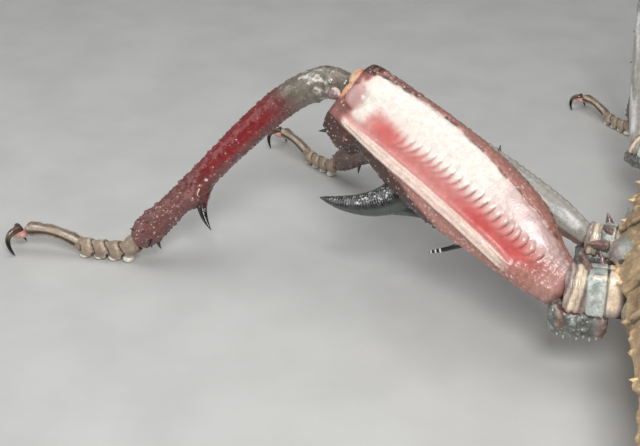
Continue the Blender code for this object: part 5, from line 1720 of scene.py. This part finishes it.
def build_leg(kind):
    """Both legs of one kind."""
    leg = Leg(kind)
    big = kind == "hind"
    pitch = HIND_LEG_PITCH if big else LEG_PITCH
    thigh = hind_thigh(leg) if big else slim_thigh(leg, pitch)
    horns = leg_spines(leg, "tibia", TIBIA_SPINES[kind], 1.0)
    parts = (
        ("hip", "coxa", "hip_cuticle", hip(leg, pitch)),
        ("thigh", "femur", "hind_thigh" if big else "leg_cuticle",
         [[thigh], leg_spines(leg, "femur", FEMUR_SPINES[kind], 0.9)]),
        ("shin", "tibia", "hind_shin" if big else "leg_cuticle",
         [[shin(leg, pitch)], [] if big else horns, shin_spinules(leg)]),
        ("foot", "tarsus", "foot_cuticle", [[tarsus(leg, pitch)], pads(leg)]),
        ("hooks", "claws", "claw", [[claws(leg)]]),
    )
    for side in SIDES:
        move = leg.mover(side)
        for part, node, finish, groups in parts:
            add_piece(f"{kind}_{part}_{side}", moved_all(groups, move), finish,
                      (f"{kind}_{node}_{side}",))
        if big:
            spur = thigh_spur(leg) + [thigh_thorns(leg) + horns]
            add_piece(f"hind_spur_{side}", moved_all(spur, move), "horn")
        add_piece(f"{kind}_knee_skin_{side}", moved_all(knee_skins(leg), move), "membrane")


THORAX_RUN = (21.75, -21.5)
THORAX_PITCH = 0.18
THORAX_SEED = 3
ABDOMEN_START = -20.8
ABDOMEN_PITCH = 0.20
ABDOMEN_SEED = 33
SKULL_PITCH = 0.15


def build_trunk():
    """Thorax, abdomen, head and what the head carries."""
    chest = [[plates(*THORAX_RUN, THORAX_ENDS, THORAX_PITCH, THORAX_SEED)],
             trunk_spines(BODY_SPINES)]
    add_piece("thorax", chest, "body_cuticle", ("prothorax", "mesothorax", "metathorax"))
    joints = abdomen_joints()
    end = joints[-1] + GAP
    tail = [[plates(ABDOMEN_START, end, joints, ABDOMEN_PITCH, ABDOMEN_SEED)],
            trunk_spines([(joint + 1.1, 1.0, 0.0, 0.8) for joint in joints[1:7]])]
    add_piece("abdomen", tail, "body_cuticle",
              [f"abdomen_{i + 2}" for i in range(len(ABDOMEN_LENGTHS))])
    for hand, side, cercus in zip((-1, 1), SIDES, cerci(joints[-1])):
        add_piece(f"tail_feeler_{side}", [[cercus]], "body_cuticle", (f"cercus_{side}",))
        add_piece(f"eye_ball_{side}", [[eye(hand)]], "eye", (f"eye_{side}",))
        add_piece(f"feeler_{side}", [[antenna(hand)]], "antenna", (f"antenna_{side}",))
    add_piece("skull", [[skull(SKULL_PITCH)], crown_spines()], "body_cuticle", ("head",))
    add_piece("mouth", mouth(), "mouthparts", ("mouthparts",))


# Lamps: place and target in millimetres, side in millimetres and power.
LAMPS = {
    "front": ((10, -120, 125), (-30, -5, 8), 55, 0.17),
    "over": ((-60, 10, 170), (-30, -5, 5), 140, 0.09),
    "side": ((-170, -60, 70), (-30, -5, 8), 110, 0.045),
}
ROOM_COLOUR = (0.86, 0.88, 0.9, 1.0)
ROOM_STRENGTH = 0.22


def add_camera():
    """The camera, low behind the animal's left side."""
    turn = math.radians(CAMERA_AZIMUTH)
    rise = math.radians(CAMERA_ELEVATION)
    back = np.array([math.sin(turn) * math.cos(rise), -math.cos(turn) * math.cos(rise),
                     math.sin(rise)])
    data = bpy.data.cameras.new("camera")
    data.angle = math.radians(CAMERA_FIELD)
    data.clip_start, data.clip_end = CAMERA_CLIP
    target = np.array(CAMERA_TARGET)
    scene = bpy.context.scene
    scene.camera = put_in_scene("camera", data, target + back * CAMERA_DISTANCE, target)
    scene.view_settings.view_transform = "Standard"


FLOOR_SIDE = 1.6
FLOOR_COLOURS = ((0.80, 0.80, 0.79), (0.83, 0.83, 0.82))


def add_floor():
    """A plain pale floor, two faces by two, with a faint mottle."""
    places = (-FLOOR_SIDE / 2, 0.0, FLOOR_SIDE / 2)
    spots = [(x, y, 0.0) for y in places for x in places]
    faces = [(i, i + 1, i + 4, i + 3) for i in (0, 1, 3, 4)]
    mesh = bpy.data.meshes.new("floor")
    mesh.from_pydata(spots, [], faces)
    floor = put_in_scene("floor", mesh)
    paint = Finish("floor")
    mottle = paint.noise(9.0, 3.0)
    colour = paint.mix(paint.ramp(mottle, 0.3, 0.7), *(linear(*c) for c in FLOOR_COLOURS))
    relief = ((paint.noise(0.8), 0.01),)
    mesh.materials.append(paint.done(colour, paint.ramp(mottle, 0.3, 0.7, 0.62, 0.7), relief))


def add_light():
    """Soft studio light: a large lamp by the camera, one overhead, one aside, a pale room."""
    for name, (place, target, side, power) in LAMPS.items():
        data = bpy.data.lights.new(name, "AREA")
        data.shape = "SQUARE"
        data.size = side * MM
        data.energy = power
        put_in_scene(name, data, place, target)
    world = bpy.data.worlds.new("room")
    world.use_nodes = True
    background = world.node_tree.nodes["Background"]
    background.inputs["Color"].default_value = ROOM_COLOUR
    background.inputs["Strength"].default_value = ROOM_STRENGTH
    bpy.context.scene.world = world


build_trunk()
for limb in LEGS:
    build_leg(limb)
add_floor()
add_light()
add_camera()
